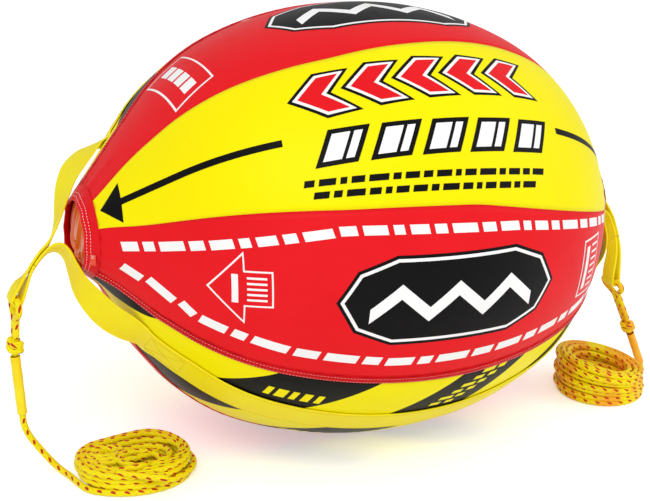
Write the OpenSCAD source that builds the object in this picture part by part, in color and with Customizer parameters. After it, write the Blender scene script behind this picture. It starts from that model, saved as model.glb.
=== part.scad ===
// Tow-rope booster ball: a football-shaped inflatable in a sewn cover, with a
// full-length webbing strap on two sides, a tow eye and a tow rope at each end.
// +X runs from the front end to the rear end, +Z is up, the floor is Z = 0.

/* [Ball] */
// Diameter of the inflated ball at its middle
ball_d = 880; // [800:5:960]
// Radius of the rounding of each end, as a share of the ball's radius
end_round = 0.941; // [0.93:0.001:0.947]
// Distance of that rounding's centre from the middle, as a share of the radius
end_shift_share = 0.277; // [0.262:0.001:0.29]
// Slope of the cone that leads to each end opening, in degrees
cone_angle = 52; // [50:0.5:54]
// Inner diameter of each end opening
mouth_d = 160; // [150:2:172]
// How far the ball is pressed flat where it lies on the floor
flat_depth = 3; // [2:0.5:5]

/* [Cover] */
// Thickness of the cover fabric
cover_t = 1.2; // [0.8:0.1:2]
// Angle of each red and yellow main panel around the ball
main_panel_angle = 132; // [126:1:136]
// Height of the near main panel's middle above the horizontal, in degrees
panel_lift = 38; // [32:1:42]
// Width of each double-stitched seam binding
seam_w = 14; // [10:1:18]
// How far a seam binding stands proud of the panels
seam_proud = 2; // [1:0.2:3]
// Length of the hemmed collar round each opening, along the ball
collar_len = 20; // [16:1:24]
// Thickness of the hemmed collar
collar_t = 4; // [3.4:0.2:5]
// Width of the pull tab on the front collar
tab_w = 20; // [14:1:24]
// Length of the pull tab along the ball
tab_l = 12; // [10:1:14]
// Thickness of the pull tab
tab_t = 2; // [1.5:0.1:3]

/* [Bladder] */
// Wall of the air bladder
bladder_wall = 1; // [0.8:0.1:1.5]
// Gap between the bladder and the cover
bladder_gap = 0.4; // [0.3:0.1:0.6]
// How far the bladder's flat ends lie behind the collar
bladder_recess = 9; // [7:1:12]
// Radius of the round patch welded on each bladder end
patch_r = 88; // [84:1:92]
// Thickness of the end patch
patch_t = 1.5; // [1:0.1:2]

/* [Valve] */
// Distance of the valve from the ball's axis
valve_offset = 48; // [46:0.5:50]
// Radius of the valve base's welded flange
valve_flange_r = 26; // [25:0.5:28]
// Thickness of that flange
valve_flange_t = 2.5; // [2:0.1:3]
// Radius of the boss on the base
valve_boss_r = 18; // [17:0.5:19]
// Height of the boss above the flange
valve_boss_h = 5; // [4:0.5:6]
// Bore of the base that the insert screws into
valve_bore_r = 13.4; // [13:0.1:14]
// Wall of the socket inside the bladder
valve_socket_wall = 2.4; // [2:0.1:3]
// Depth of the socket below the flange
valve_socket_depth = 12; // [11:0.5:16]
// Running clearance between valve pieces
valve_clear = 0.3; // [0.2:0.05:0.4]
// Length of the insert's threaded body
insert_len = 13; // [12:0.5:15]
// Bore of the insert that the air goes through
insert_bore_r = 8; // [7:0.5:8.5]
// Thickness of the insert's head
insert_head_t = 2.5; // [2:0.1:3]
// Thickness of the rubber flap
flap_t = 1.5; // [1:0.1:2]
// Thickness of the tether's ring and tail
tether_t = 1.2; // [1:0.1:1.6]
// Length of the tether's tail beyond the ring
tether_tail = 9; // [6:1:12]
// Thickness of the cap
cap_t = 3; // [2.5:0.1:3.5]
// Length of the plug under the cap
cap_plug_len = 3; // [2:0.2:3]

/* [Webbing] */
// Width of the webbing strap
strap_w = 75; // [60:1:78]
// Thickness of the webbing strap
strap_t = 3; // [2.5:0.1:3.5]
// Gap between the strap and the cover
strap_gap = 0.7; // [0.6:0.1:0.9]
// Distance along the ball from the mouth back to where the strap is sewn down
strap_free = 97; // [93:1:105]
// How far the near strap is sewn off its panel's middle line, in degrees
strap_swing = 4; // [0:0.5:5]
// Width of the webbing once it is folded at the tow eye
eye_w = 38; // [34:1:40]
// Thickness of the folded webbing
eye_t = 5; // [4:0.2:5.4]
// How far the front tow eye lies beyond the mouth
front_eye_out = 124; // [118:1:130]
// How far the front tow eye hangs below the ball's axis
front_eye_drop = 80; // [74:1:86]
// How far the rear tow eye lies beyond the mouth
rear_eye_out = 38; // [34:1:44]
// How far the rear tow eye hangs below the ball's axis
rear_eye_drop = 180; // [172:1:186]

/* [Rope] */
// Diameter of the tow rope
rope_d = 12.5; // [11:0.1:13]
// Gap between the rope and the tow eye's webbing
rope_gap = 0.4; // [0.3:0.1:0.6]
// Diameter of the knot
knot_d = 33; // [28:0.5:36]
// Length of the knot
knot_len = 38; // [34:0.5:42]
// Diameter of the plain sleeve on the rope
sleeve_d = 18.4; // [16:0.2:20]
// Length of the front rope's sleeve
sleeve_len = 115; // [100:1:118]
// Length of the rear rope's sleeve
rear_sleeve_len = 95; // [80:1:100]
// Diameter of the knot at the rope's free end
end_knot_d = 26; // [22:1:28]
// Long side of the front rope's bundle
front_coil_l = 240; // [220:2:250]
// Short side of the front rope's bundle
front_coil_w = 196; // [180:2:200]
// Height of the front rope's bundle
front_coil_h = 55; // [40:1:60]
// Diameter of the rear rope's bundle
rear_coil_d = 216; // [200:2:218]
// Height of the rear rope's bundle
rear_coil_h = 78; // [60:1:79]

/* [Hidden] */

$fn = 96;
FRONT = -1;
REAR = 1;

// ---- the ball's outline: a long middle arc, a rounder end arc, then a cone ----
ball_r = ball_d / 2;
end_r = ball_r * end_round;
end_shift = ball_r * end_shift_share;
axis_z = ball_r - flat_depth;
mid_r = (end_shift * end_shift + ball_r * ball_r - end_r * end_r) / (2 * (ball_r - end_r));
mid_centre = ball_r - mid_r;
join_angle = atan2(end_shift, -mid_centre);
arc_steps = 10;

function cone_start_x(off) = end_shift + (end_r + off) * sin(cone_angle);
function cone_start_r(off) = (end_r + off) * cos(cone_angle);
function cone_r(x, off) = cone_start_r(off) - tan(cone_angle) * (x - cone_start_x(off));
function cone_x(r, off) = cone_start_x(off) + (cone_start_r(off) - r) / tan(cone_angle);
function ball_profile(x, off) =
    x < (mid_r + off) * sin(join_angle)
        ? mid_centre + sqrt(pow(mid_r + off, 2) - x * x)
        : x < cone_start_x(off)
            ? sqrt(pow(end_r + off, 2) - pow(x - end_shift, 2))
            : cone_r(x, off);

// The collar's inner edge closes to the mouth's radius at mouth_x
mouth_x = cone_x(mouth_d / 2, 0);
panel_end_x = mouth_x - collar_len;
bladder_end_x = panel_end_x - bladder_recess;
bladder_off = -(cover_t + bladder_gap);
reach = mouth_x + ball_r / 4;
sewn_half = mouth_x - strap_free;

function half_outline(off, x_end) = concat(
    [for (i = [0 : arc_steps])
        let (a = join_angle * i / arc_steps)
        [mid_centre + (mid_r + off) * cos(a), (mid_r + off) * sin(a)]],
    [for (i = [1 : arc_steps])
        let (a = join_angle + (cone_angle - join_angle) * i / arc_steps)
        [(end_r + off) * cos(a), end_shift + (end_r + off) * sin(a)]],
    [[cone_r(x_end, off), x_end], [0, x_end]]);

function reversed(list) = [for (i = [len(list) - 1 : -1 : 0]) list[i]];

// A full solid of the ball's outline moved out by off, pressed flat on the floor
module ball_solid(off, x_end) {
    upper = half_outline(off, x_end);
    lower = [for (p = reversed(upper)) if (p[1] > 0) [p[0], -p[1]]];
    intersection() {
        translate([0, 0, axis_z])
            rotate([0, 90, 0])
                rotate_extrude()
                    polygon(concat(upper, lower));
        translate([-reach, -reach, max(0, -off)])
            cube([2 * reach, 2 * reach, 2 * reach]);
    }
}

// The wedge round the axis between two heights, in degrees from the near side up
module sector(from_angle, to_angle) {
    translate([0, 0, axis_z])
        rotate([0, 90, 0])
            rotate([0, 0, -90 - to_angle])
                rotate_extrude(angle = to_angle - from_angle)
                    translate([0, -reach])
                        square([reach, 2 * reach]);
}

// A slab through the axis, as wide as w, on the side of the given angle
module slab(at_angle, w) {
    translate([0, 0, axis_z])
        rotate([90 - at_angle, 0, 0])
            translate([-reach, -w / 2, 0])
                cube([2 * reach, w, reach]);
}

// ---- the cover: two main panels, two hazard panels and four seams ----
half_main = main_panel_angle / 2;
hazard_angle = panel_lift - 90;
seam_angles = [panel_lift - half_main, panel_lift + half_main,
               panel_lift + 180 + half_main, panel_lift + 180 - half_main];

module cover_shell(proud) {
    difference() {
        ball_solid(proud, panel_end_x);
        ball_solid(-cover_t, panel_end_x + 1);
    }
}

module panel(from_angle, to_angle) {
    difference() {
        intersection() {
            cover_shell(0);
            sector(from_angle, to_angle);
        }
        slab(from_angle, seam_w);
        slab(to_angle, seam_w);
    }
}

module main_panel(middle) {
    color("#ED1C24") panel(middle - half_main, middle + half_main);
}

module hazard_panel(middle) {
    color("#1A1A1A") panel(middle - 90 + half_main, middle + 90 - half_main);
}

module seam(at_angle) {
    color("#D0141C")
        intersection() {
            cover_shell(seam_proud);
            slab(at_angle, seam_w);
        }
}

// The hemmed neck of the cover round one opening
collar_out = 1;
module collar(end) {
    inner = collar_out - collar_t;
    color("#E01820")
        translate([0, 0, axis_z])
            rotate([0, end * 90, 0])
                rotate_extrude()
                    polygon([
                        [cone_r(panel_end_x, inner), panel_end_x],
                        [cone_r(panel_end_x, collar_out), panel_end_x],
                        [cone_r(mouth_x - 2, collar_out), mouth_x - 2],
                        [cone_r(mouth_x, collar_out) - 1, mouth_x],
                        [cone_r(mouth_x, inner) + 1, mouth_x],
                        [cone_r(mouth_x - 2, inner), mouth_x - 2]]);
}

// The pull tab hangs from its upper edge on the near side of the front collar
tab_gap = 0.6;
tab_x = mouth_x - collar_len / 2;
tab_base = cone_r(tab_x, collar_out);
module collar_tab() {
    color("#F0523C")
        translate([-tab_x, -tab_base, axis_z])
            rotate([0, 0, 90 - cone_angle - 90])
                translate([-tab_l / 2, -tab_gap - tab_t, -tab_w])
                    cube([tab_l, tab_t, tab_w]);
}

// ---- the bladder and its valve ----
module bladder() {
    color("#F58223")
        difference() {
            ball_solid(bladder_off, bladder_end_x);
            ball_solid(bladder_off - bladder_wall, bladder_end_x - bladder_wall);
            valve_place()
                translate([0, 0, -2 * bladder_wall - patch_t])
                    cylinder(r = valve_bore_r + valve_socket_wall + valve_clear,
                             h = 3 * bladder_wall + patch_t);
        }
}

module bladder_patch(end) {
    color("#F0741A")
        translate([end * bladder_end_x, 0, axis_z])
            rotate([0, end * 90, 0])
                difference() {
                    cylinder(r = patch_r, h = patch_t);
                    if (end == REAR)
                        rotate([0, -90, 0])
                            translate([-bladder_end_x, 0, -axis_z])
                                valve_place()
                                    translate([0, 0, -patch_t - 1])
                                        cylinder(r = valve_bore_r + valve_socket_wall + valve_clear,
                                                 h = patch_t + 2);
                }
}

// The valve's own frame: its seat on the rear patch, its axis along +X
module valve_place() {
    translate([bladder_end_x + patch_t,
               valve_offset * sin(hazard_angle),
               axis_z + valve_offset * cos(hazard_angle)])
        rotate([0, 90, 0])
            rotate([0, 0, 90 - hazard_angle + 90])
                children();
}

boss_top = valve_flange_t + valve_boss_h;
module valve_base() {
    color("#2B2B2E")
        valve_place()
            difference() {
                union() {
                    cylinder(r = valve_flange_r, h = valve_flange_t);
                    cylinder(r = valve_boss_r, h = boss_top);
                    translate([0, 0, -valve_socket_depth])
                        cylinder(r = valve_bore_r + valve_socket_wall, h = valve_socket_depth + 1);
                }
                translate([0, 0, -valve_socket_depth - 1])
                    cylinder(r = valve_bore_r, h = valve_socket_depth + boss_top + 2);
            }
}

ring_z = boss_top + valve_clear;
head_z = ring_z + tether_t + valve_clear;
head_r = valve_boss_r;
insert_bottom = head_z - insert_len;
hub_r = 3;
stem_r = 1.5;
bar_w = 2;
hinge_r = 1.6;
hinge_out = head_r + hinge_r;
hinge_z = head_z + insert_head_t + valve_clear;
lug_w = 4;
knuckle_at = lug_w + valve_clear;
pin_r = 0.7;
module valve_insert() {
    color("#F2F2F0")
        valve_place() {
            difference() {
                union() {
                    translate([0, 0, insert_bottom])
                        cylinder(r = valve_bore_r - valve_clear, h = insert_len + 0.5);
                    translate([0, 0, head_z])
                        cylinder(r = head_r, h = insert_head_t);
                    for (side = [-1, 1])
                        translate([head_r - 4, side * knuckle_at - lug_w / 2, head_z])
                            cube([4 + hinge_r, lug_w, insert_head_t]);
                    for (side = [-1, 1])
                        translate([hinge_out, side * knuckle_at, hinge_z])
                            rotate([90, 0, 0])
                                cylinder(r = hinge_r, h = lug_w, center = true);
                }
                translate([0, 0, insert_bottom - 1])
                    cylinder(r = insert_bore_r, h = insert_len + insert_head_t + 3);
            }
            translate([hinge_out, 0, hinge_z])
                rotate([90, 0, 0])
                    cylinder(r = pin_r, h = 2 * knuckle_at, center = true);
            difference() {
                union() {
                    translate([0, 0, insert_bottom])
                        cylinder(r = hub_r, h = bar_w);
                    for (turn = [0, 90])
                        rotate([0, 0, turn])
                            translate([-insert_bore_r - 1, -bar_w / 2, insert_bottom])
                                cube([2 * insert_bore_r + 2, bar_w, bar_w]);
                }
                translate([0, 0, insert_bottom - 1])
                    cylinder(r = stem_r + 0.2, h = bar_w + 2);
            }
        }
}

// The flap lies against the underside of the insert and moves inward
flap_travel = 3;
module valve_flap() {
    color("#303034")
        valve_place() {
            translate([0, 0, insert_bottom - valve_clear - flap_t])
                cylinder(r = insert_bore_r + 3, h = flap_t);
            translate([0, 0, insert_bottom - valve_clear - 0.5])
                cylinder(r = stem_r, h = bar_w + flap_travel + 2);
            translate([0, 0, insert_bottom + bar_w + flap_travel + 0.3])
                cylinder(r = stem_r + 1, h = 1.2);
        }
}

// The cap turns about a hinge beside the insert's head
module valve_cap() {
    cap_bottom = hinge_z;
    lug_lift = 0.2;
    color("#F2F2F0")
        valve_place() {
            translate([0, 0, cap_bottom])
                cylinder(r = head_r - 2, h = cap_t);
            translate([0, 0, cap_bottom - cap_plug_len])
                cylinder(r = insert_bore_r - 0.8, h = cap_plug_len + 1);
            difference() {
                union() {
                    translate([head_r - 5, -lug_w / 2, cap_bottom + lug_lift])
                        cube([5 + hinge_r, lug_w, hinge_r - lug_lift]);
                    translate([hinge_out, 0, hinge_z])
                        rotate([90, 0, 0])
                            cylinder(r = hinge_r, h = lug_w, center = true);
                }
                translate([hinge_out, 0, hinge_z])
                    rotate([90, 0, 0])
                        cylinder(r = pin_r + valve_clear / 2, h = lug_w + 2, center = true);
            }
        }
}

// A ring under the insert's head with a short tail: it lifts with the insert
module valve_tether() {
    color("#F2F2F0")
        valve_place()
            difference() {
                union() {
                    translate([0, 0, ring_z])
                        cylinder(r = head_r, h = tether_t);
                    translate([-head_r - tether_tail, -3, ring_z])
                        cube([tether_tail + 2, 6, tether_t]);
                }
                translate([0, 0, ring_z - 1])
                    cylinder(r = valve_bore_r, h = tether_t + 2);
            }
}

// ---- sweeping along a path ----
function unit(v) = v / norm(v);
function tangent(path, i) =
    unit(path[min(i + 1, len(path) - 1)] - path[max(i - 1, 0)]);
function spline_point(a, b, c, d, t) =
    ((-a + 3 * b - 3 * c + d) * t * t * t + (2 * a - 5 * b + 4 * c - d) * t * t
     + (c - a) * t + 2 * b) / 2;
// A smooth curve through every given point, with steps pieces between two of them
function smooth_path(pts, steps) = concat(
    [for (i = [0 : len(pts) - 2], k = [0 : steps - 1])
        spline_point(pts[max(i - 1, 0)], pts[i], pts[i + 1],
                     pts[min(i + 2, len(pts) - 1)], k / steps)],
    [pts[len(pts) - 1]]);

// Joins rings of equal size, with a given face at each end, into one closed solid
module skin(rings, end_faces) {
    n = len(rings[0]);
    m = len(rings);
    polyhedron(
        points = [for (ring = rings) each ring],
        faces = concat(
            [for (face = end_faces) reversed(face)],
            [for (i = [0 : m - 2], j = [0 : n - 1])
                [i * n + j, i * n + (j + 1) % n, (i + 1) * n + (j + 1) % n]],
            [for (i = [0 : m - 2], j = [0 : n - 1])
                [i * n + j, (i + 1) * n + (j + 1) % n, (i + 1) * n + j]],
            [for (face = end_faces) [for (j = face) (m - 1) * n + j]]));
}

// A flat band: at each point its width direction, its normal, half width,
// thickness and how far its edges bend back towards the ball
module band(path, across, normals, half_w, thick, bow, cols) {
    skin([for (i = [0 : len(path) - 1]) concat(
            [for (j = [0 : cols])
                let (u = (2 * j / cols - 1) * half_w[i])
                path[i] + across[i] * u + normals[i] * (thick[i] / 2 - bow[i] * u * u)],
            [for (j = [cols : -1 : 0])
                let (u = (2 * j / cols - 1) * half_w[i])
                path[i] + across[i] * u - normals[i] * (thick[i] / 2 + bow[i] * u * u)])],
         [for (j = [0 : cols - 1]) [j, j + 1, 2 * cols - j, 2 * cols + 1 - j]]);
}

// ---- the two full-length straps ----
// Legs run from the sewn end to the neck, as [distance from the middle, height
// over the axis on the strap's own side], measured from a ring round the mouth
leg_ring_out = 12;
mouth_edge = [mouth_x, mouth_d / 2 + leg_ring_out];
front_lower_leg = [for (p = [[-62, 84], [-40, 65], [-18, 36], [2, 0], [11, -36], [17, -65],
                             [28, -81], [45, -81], [65, -66], [84, -44]]) p + mouth_edge];
front_upper_leg = [for (p = [[-70, 104], [-46, 84], [-25, 61], [-5, 28], [9, -8], [21, -42],
                             [34, -71], [50, -95], [71, -115], [89, -137]]) p + mouth_edge];
rear_lower_leg = [for (p = [[-55, 90], [-20, 60], [4, 22], [12, -14], [20, -37],
                            [30, -42], [37, -30], [38, -6], [36, 20]]) p + mouth_edge];
rear_upper_leg = [for (p = [[-55, 106], [-18, 74], [9, 20], [22, -40], [33, -95],
                            [42, -128], [47, -153], [46, -178], [43, -204]]) p + mouth_edge];
sewn_steps = 20;
lead_in = 28;
leg_steps = 2;
taper_from = mouth_x - 45;
// Over this length beside its end the sewn part swings to its line
swing_len = 70;

function strap_line(x) = ball_profile(abs(x), strap_gap + strap_t / 2);
// The strap's middle line in its own plane, from the front neck to the rear neck
// A leg leaves the ball at sewn_half, in line with the sewn part just before it
function leg_path(leg) =
    let (all = smooth_path(
        concat([for (x = [sewn_half - lead_in, sewn_half]) [x, strap_line(x)]], leg), leg_steps))
    [for (i = [leg_steps : len(all) - 1]) all[i]];
function strap_plane_path(front_leg, rear_leg) = concat(
    reversed([for (p = leg_path(front_leg)) [-p[0], p[1]]]),
    [for (i = [1 : 2 * sewn_steps - 1])
        let (x = sewn_half * (i / sewn_steps - 1)) [x, strap_line(x)]],
    leg_path(rear_leg));

function plane_to_space(p, at_angle) =
    [p[0], -cos(at_angle) * p[1], axis_z + sin(at_angle) * p[1]];
function plane_vector(v, at_angle) = [v[0], -cos(at_angle) * v[1], sin(at_angle) * v[1]];
// The strap's angle round the ball at x: off the panel's middle where it is sewn
function strap_angle(x, at_angle, swing) =
    at_angle + swing * ease(min(1, max(0, (sewn_half - abs(x)) / swing_len)));
function across_strap(at_angle) = [0, sin(at_angle), cos(at_angle)];
// 0 on the sewn length, 1 at the neck
function fold(x) = min(1, max(0, (abs(x) - taper_from) / (mouth_x + 60 - taper_from)));

module strap(at_angle, swing, front_leg, rear_leg) {
    flat = strap_plane_path(front_leg, rear_leg);
    n = len(flat);
    angles = [for (p = flat) strap_angle(p[0], at_angle, swing)];
    color("#FFF200")
        band(
            path = [for (i = [0 : n - 1]) plane_to_space(flat[i], angles[i])],
            across = [for (i = [0 : n - 1]) across_strap(angles[i])],
            normals = [for (i = [0 : n - 1])
                let (t = tangent(flat, i)) plane_vector([-t[1], t[0]], angles[i])],
            half_w = [for (p = flat) (strap_w + (eye_w - strap_w) * fold(p[0])) / 2],
            thick = [for (p = flat) strap_t + (eye_t - strap_t) * fold(p[0])],
            bow = [for (i = [0 : n - 1])
                let (x = flat[i][0])
                abs(x) > sewn_half + 1 ? 0 : abs(tangent(flat, i)[0]) / (2 * strap_line(x))],
            cols = 4);
}

// ---- the tow eyes: the folded webbing goes round the rope and back ----
eye_r = rope_d / 2 + rope_gap + eye_t / 2;
eye_steps = 8;
// Centres of the rope where it lies in each eye, from the mouth's centre
front_eye_at = [-mouth_x - front_eye_out, -62, axis_z - front_eye_drop];
rear_eye_at = [mouth_x + rear_eye_out, -80, axis_z - rear_eye_drop];
front_pull = unit([-0.45, -0.35, -0.82]);
rear_pull = unit([0.05, -0.1, -0.99]);

function ease(t) = t * t * (3 - 2 * t);
function mix(a, b, t) = a + (b - a) * t;
function bezier(a, b, c, d, t) =
    a * pow(1 - t, 3) + 3 * b * t * pow(1 - t, 2) + 3 * c * t * t * (1 - t) + d * pow(t, 3);

function neck(leg, end, at_angle) =
    plane_to_space([end * leg[len(leg) - 1][0], leg[len(leg) - 1][1]], at_angle);
function neck_tangent(leg, end, at_angle) =
    unit(neck(leg, end, at_angle)
         - plane_to_space([end * leg[len(leg) - 2][0], leg[len(leg) - 2][1]], at_angle));

module tow_eye(end, lower_leg, upper_leg, eye_at, pull) {
    low = neck(lower_leg, end, hazard_angle);
    high = neck(upper_leg, end, hazard_angle + 180);
    start = (low + high) / 2;
    gap = norm(low - high) / 2;
    out = unit(neck_tangent(lower_leg, end, hazard_angle)
               + neck_tangent(upper_leg, end, hazard_angle + 180));
    length = norm(eye_at - start);
    line = [for (i = [0 : eye_steps])
        bezier(start, start + out * length / 3, eye_at - pull * length / 3, eye_at, i / eye_steps)];
    widths = [for (i = [0 : eye_steps])
        unit(mix(across_strap(hazard_angle), [0, -1, 0], ease(min(1, 1.3 * i / eye_steps))))];
    sides = [for (i = [0 : eye_steps])
        -end * unit(cross(widths[i], tangent(line, i)))];
    spread = [for (i = [0 : eye_steps]) mix(gap, eye_r, ease(i / eye_steps))];
    tip = sides[eye_steps];
    down = unit([pull[0], 0, pull[2]]);
    round_normals = [for (k = [1 : 7]) tip * cos(22.5 * k) + down * sin(22.5 * k)];
    path = concat(
        [for (i = [0 : eye_steps]) line[i] + sides[i] * spread[i]],
        [for (v = round_normals) eye_at + v * eye_r],
        [for (i = [eye_steps : -1 : 0]) line[i] - sides[i] * spread[i]]);
    normals = concat(sides, round_normals, [for (v = reversed(sides)) -v]);
    across = end * concat(widths, [for (v = round_normals) widths[eye_steps]], reversed(widths));
    color("#FFF200")
        band(path = path, across = across, normals = normals,
             half_w = [for (p = path) eye_w / 2],
             thick = [for (p = path) eye_t],
             bow = [for (p = path) 0],
             cols = 1);
}

// ---- the ropes ----
rope_sides = 10;
function carried(u, t) = unit(u - t * (u * t));
function frames(path, u0) =
    [for (i = 0, u = carried(u0, tangent(path, 0)); i < len(path);
          i = i + 1, u = carried(u, tangent(path, min(i, len(path) - 1)))) u];
module rope(path, start_normal) {
    us = frames(path, start_normal);
    color("#FFE200")
        skin([for (i = [0 : len(path) - 1])
            let (t = tangent(path, i), v = cross(t, us[i]))
            [for (k = [0 : rope_sides - 1])
                let (a = -360 * k / rope_sides)
                path[i] + (us[i] * cos(a) + v * sin(a)) * rope_d / 2]],
             [[for (k = [0 : rope_sides - 1]) k]]);
}

// One half of the loop: [sideways from the eye's middle, down from the rope in the eye]
side_out = eye_w / 2;
half_loop = [[7, 0], [side_out + 3, 0], [side_out + 10, 4], [side_out + 12, 11],
             [side_out + 10, 18], [side_out + 4, 25], [15.5, 30], [9, 36], [7, 44]];
module rope_loop(eye_at, down, loop_len) {
    side = unit([0, 1, 0] - down * down[1]);
    half = concat(half_loop, [for (k = [1 : 3]) [7, 44 + (loop_len - 44) * k / 3]]);
    right = [for (p = half) eye_at + side * p[0] + down * p[1]];
    left = [for (p = half) eye_at - side * p[0] + down * p[1]];
    rope(smooth_path(concat(reversed(left), right), 2), cross(side, down));
}

module along(from, direction) {
    turn = acos(direction[2]);
    heading = atan2(direction[1], direction[0]);
    translate(from)
        rotate([0, turn, heading])
            children();
}

module knot(top, down, d, len) {
    color("#FFD800")
        along(top, down)
            intersection() {
                translate([0, 0, len / 2]) sphere(r = len / 2 + 1.5);
                cylinder(r = d / 2, h = len);
            }
}

module sleeve(top, down, len) {
    color("#FFE81A")
        along(top, down)
            cylinder(r = sleeve_d / 2, h = len);
}

loop_into_knot = 3;
front_loop_len = 72;
front_down = unit([-0.03, 0, -1]);
front_sleeve_down = unit([0.09, 0, -1]);
front_knot_top = front_eye_at + front_down * front_loop_len;
front_sleeve_top = front_knot_top + front_down * (knot_len - 1);
front_sleeve_end = front_sleeve_top + front_sleeve_down * sleeve_len;

rear_loop_len = 116;
rear_down = unit([0.457, 0, -0.889]);
rear_sleeve_down = unit([0.48, 0.09, -0.875]);
rear_knot_top = rear_eye_at + rear_down * rear_loop_len;
rear_sleeve_top = rear_knot_top + rear_down * (knot_len - 1);
rear_sleeve_end = rear_sleeve_top + rear_sleeve_down * rear_sleeve_len;

// The free runs from the sleeves to the bundles on the floor, as distances from
// the sleeve's end, with the height as a share of the drop to the floor
run_gap = 0.7;
bundle_bite = 7;
rope_rest_z = rope_d / 2 + 0.5;
run_lead = 10;
function run_from(start, down, steps) = concat([start, start + down * run_lead],
    [for (p = steps) [start[0] + p[0], start[1] + p[1],
                      rope_rest_z + (start[2] - rope_rest_z) * p[2]]]);
front_run = run_from(front_sleeve_end + front_sleeve_down * run_gap, front_sleeve_down,
    [[3.5, 0, 0.8], [12, 0, 0.63], [28, 0, 0.43], [47, -2, 0.22],
     [62, -7, 0.08], [72, -16, 0.015], [78, -29, 0], [84, -44, 0]]);
rear_run = run_from(rear_sleeve_end + rear_sleeve_down * run_gap, rear_sleeve_down,
    [[10, 5, 0.42], [17, 12, 0.15], [23, 26, 0], [22, 42, 0],
     [12, 56, 0], [-4, 65, 0], [-24, 66, 0], [-46, 57, 0], [-63, 42, 0]]);
run_steps = 2;

function flat_of(p) = [p[0], p[1]];
front_coil_at = flat_of(front_run[len(front_run) - 1]) + [front_coil_l / 2 - bundle_bite, -12];
rear_coil_at = flat_of(rear_run[len(rear_run) - 1]) - [0.74, 0.67] * (rear_coil_d / 2 - 1);
front_hole_w = 30;
front_hole_l = 50;
front_hole_shift = -20;
rear_hole_d = 60;
knot_bite = 0.2;
front_end_knot_at = front_coil_at
    + [0, front_hole_shift + front_hole_w / 2 - end_knot_d / 2 + knot_bite];
rear_end_knot_at = rear_coil_at + [rear_hole_d / 2 - end_knot_d / 2 + knot_bite, 0];
module stadium(l, w) {
    hull_half = (l - w) / 2;
    for (side = [-1, 1])
        translate([side * hull_half, 0])
            circle(r = w / 2);
    square([2 * hull_half, w], center = true);
}

module front_coil() {
    color("#FFE200")
        translate([front_coil_at[0], front_coil_at[1], 0])
            linear_extrude(height = front_coil_h)
                difference() {
                    stadium(front_coil_l, front_coil_w);
                    translate([0, front_hole_shift]) stadium(front_hole_l, front_hole_w);
                }
}

module rear_coil() {
    color("#FFD000")
        translate([rear_coil_at[0], rear_coil_at[1], 0])
            rotate_extrude()
                translate([rear_hole_d / 2, 0])
                    square([(rear_coil_d - rear_hole_d) / 2, rear_coil_h]);
}

module end_knot(at) {
    color("#FFD800")
        translate([at[0], at[1], end_knot_d / 2])
            sphere(r = end_knot_d / 2);
}

bladder();
bladder_patch(FRONT);  // bladder_patch_front
bladder_patch(REAR);  // bladder_patch_rear
valve_base();
valve_insert();
valve_flap();
valve_cap();
valve_tether();
main_panel(panel_lift);  // main_panel_near
main_panel(panel_lift + 180);  // main_panel_far
hazard_panel(hazard_angle);  // hazard_panel_lower
hazard_panel(hazard_angle + 180);  // hazard_panel_upper
seam(seam_angles[0]);  // seam_near_lower
seam(seam_angles[1]);  // seam_near_upper
seam(seam_angles[2]);  // seam_far_lower
seam(seam_angles[3]);  // seam_far_upper
collar(FRONT);  // collar_front
collar(REAR);  // collar_rear
collar_tab();
strap(hazard_angle, strap_swing, front_lower_leg, rear_lower_leg);  // strap_lower
strap(hazard_angle + 180, 0, front_upper_leg, rear_upper_leg);  // strap_upper
tow_eye(FRONT, front_lower_leg, front_upper_leg, front_eye_at, front_pull);  // tow_eye_front
tow_eye(REAR, rear_lower_leg, rear_upper_leg, rear_eye_at, rear_pull);  // tow_eye_rear
rope_loop(front_eye_at, front_down, front_loop_len + loop_into_knot);  // rope_front_loop
knot(front_knot_top, front_down, knot_d, knot_len);  // rope_front_knot
sleeve(front_sleeve_top, front_sleeve_down, sleeve_len);  // rope_front_sleeve
rope(smooth_path(front_run, run_steps), [0, 1, 0]);  // rope_front_run
front_coil();  // rope_front_coil
end_knot(front_end_knot_at);  // rope_front_end_knot
rope_loop(rear_eye_at, rear_down, rear_loop_len + loop_into_knot);  // rope_rear_loop
knot(rear_knot_top, rear_down, knot_d, knot_len);  // rope_rear_knot
sleeve(rear_sleeve_top, rear_sleeve_down, rear_sleeve_len);  // rope_rear_sleeve
rope(smooth_path(rear_run, run_steps), [0, 1, 0]);  // rope_rear_run
rear_coil();  // rope_rear_coil
end_knot(rear_end_knot_at);  // rope_rear_end_knot
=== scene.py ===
import math

import bmesh
import bpy
import numpy as np
from mathutils import Matrix, Vector


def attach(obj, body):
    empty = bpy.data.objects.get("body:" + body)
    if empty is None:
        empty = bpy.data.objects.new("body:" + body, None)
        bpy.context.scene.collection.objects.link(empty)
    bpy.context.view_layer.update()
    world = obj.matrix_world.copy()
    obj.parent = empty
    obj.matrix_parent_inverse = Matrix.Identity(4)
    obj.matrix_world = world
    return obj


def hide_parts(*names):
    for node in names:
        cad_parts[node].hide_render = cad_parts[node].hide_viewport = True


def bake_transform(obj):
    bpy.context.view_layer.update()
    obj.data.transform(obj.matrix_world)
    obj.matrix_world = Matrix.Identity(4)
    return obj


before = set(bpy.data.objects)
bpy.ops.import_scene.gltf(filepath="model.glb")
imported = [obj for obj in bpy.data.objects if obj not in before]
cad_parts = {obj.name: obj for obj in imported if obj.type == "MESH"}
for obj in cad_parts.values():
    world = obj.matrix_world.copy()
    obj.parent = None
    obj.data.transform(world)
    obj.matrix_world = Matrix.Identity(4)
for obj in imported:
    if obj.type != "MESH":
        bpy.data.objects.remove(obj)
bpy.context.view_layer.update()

# ---- The onlooker ----
# Someone standing off the ball's front corner, a little above its middle and
# with their head tipped slightly. The ball is seen long side on, front end left.
stand_at = Vector((-1.1631, -2.2700, 1.1181))
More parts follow.
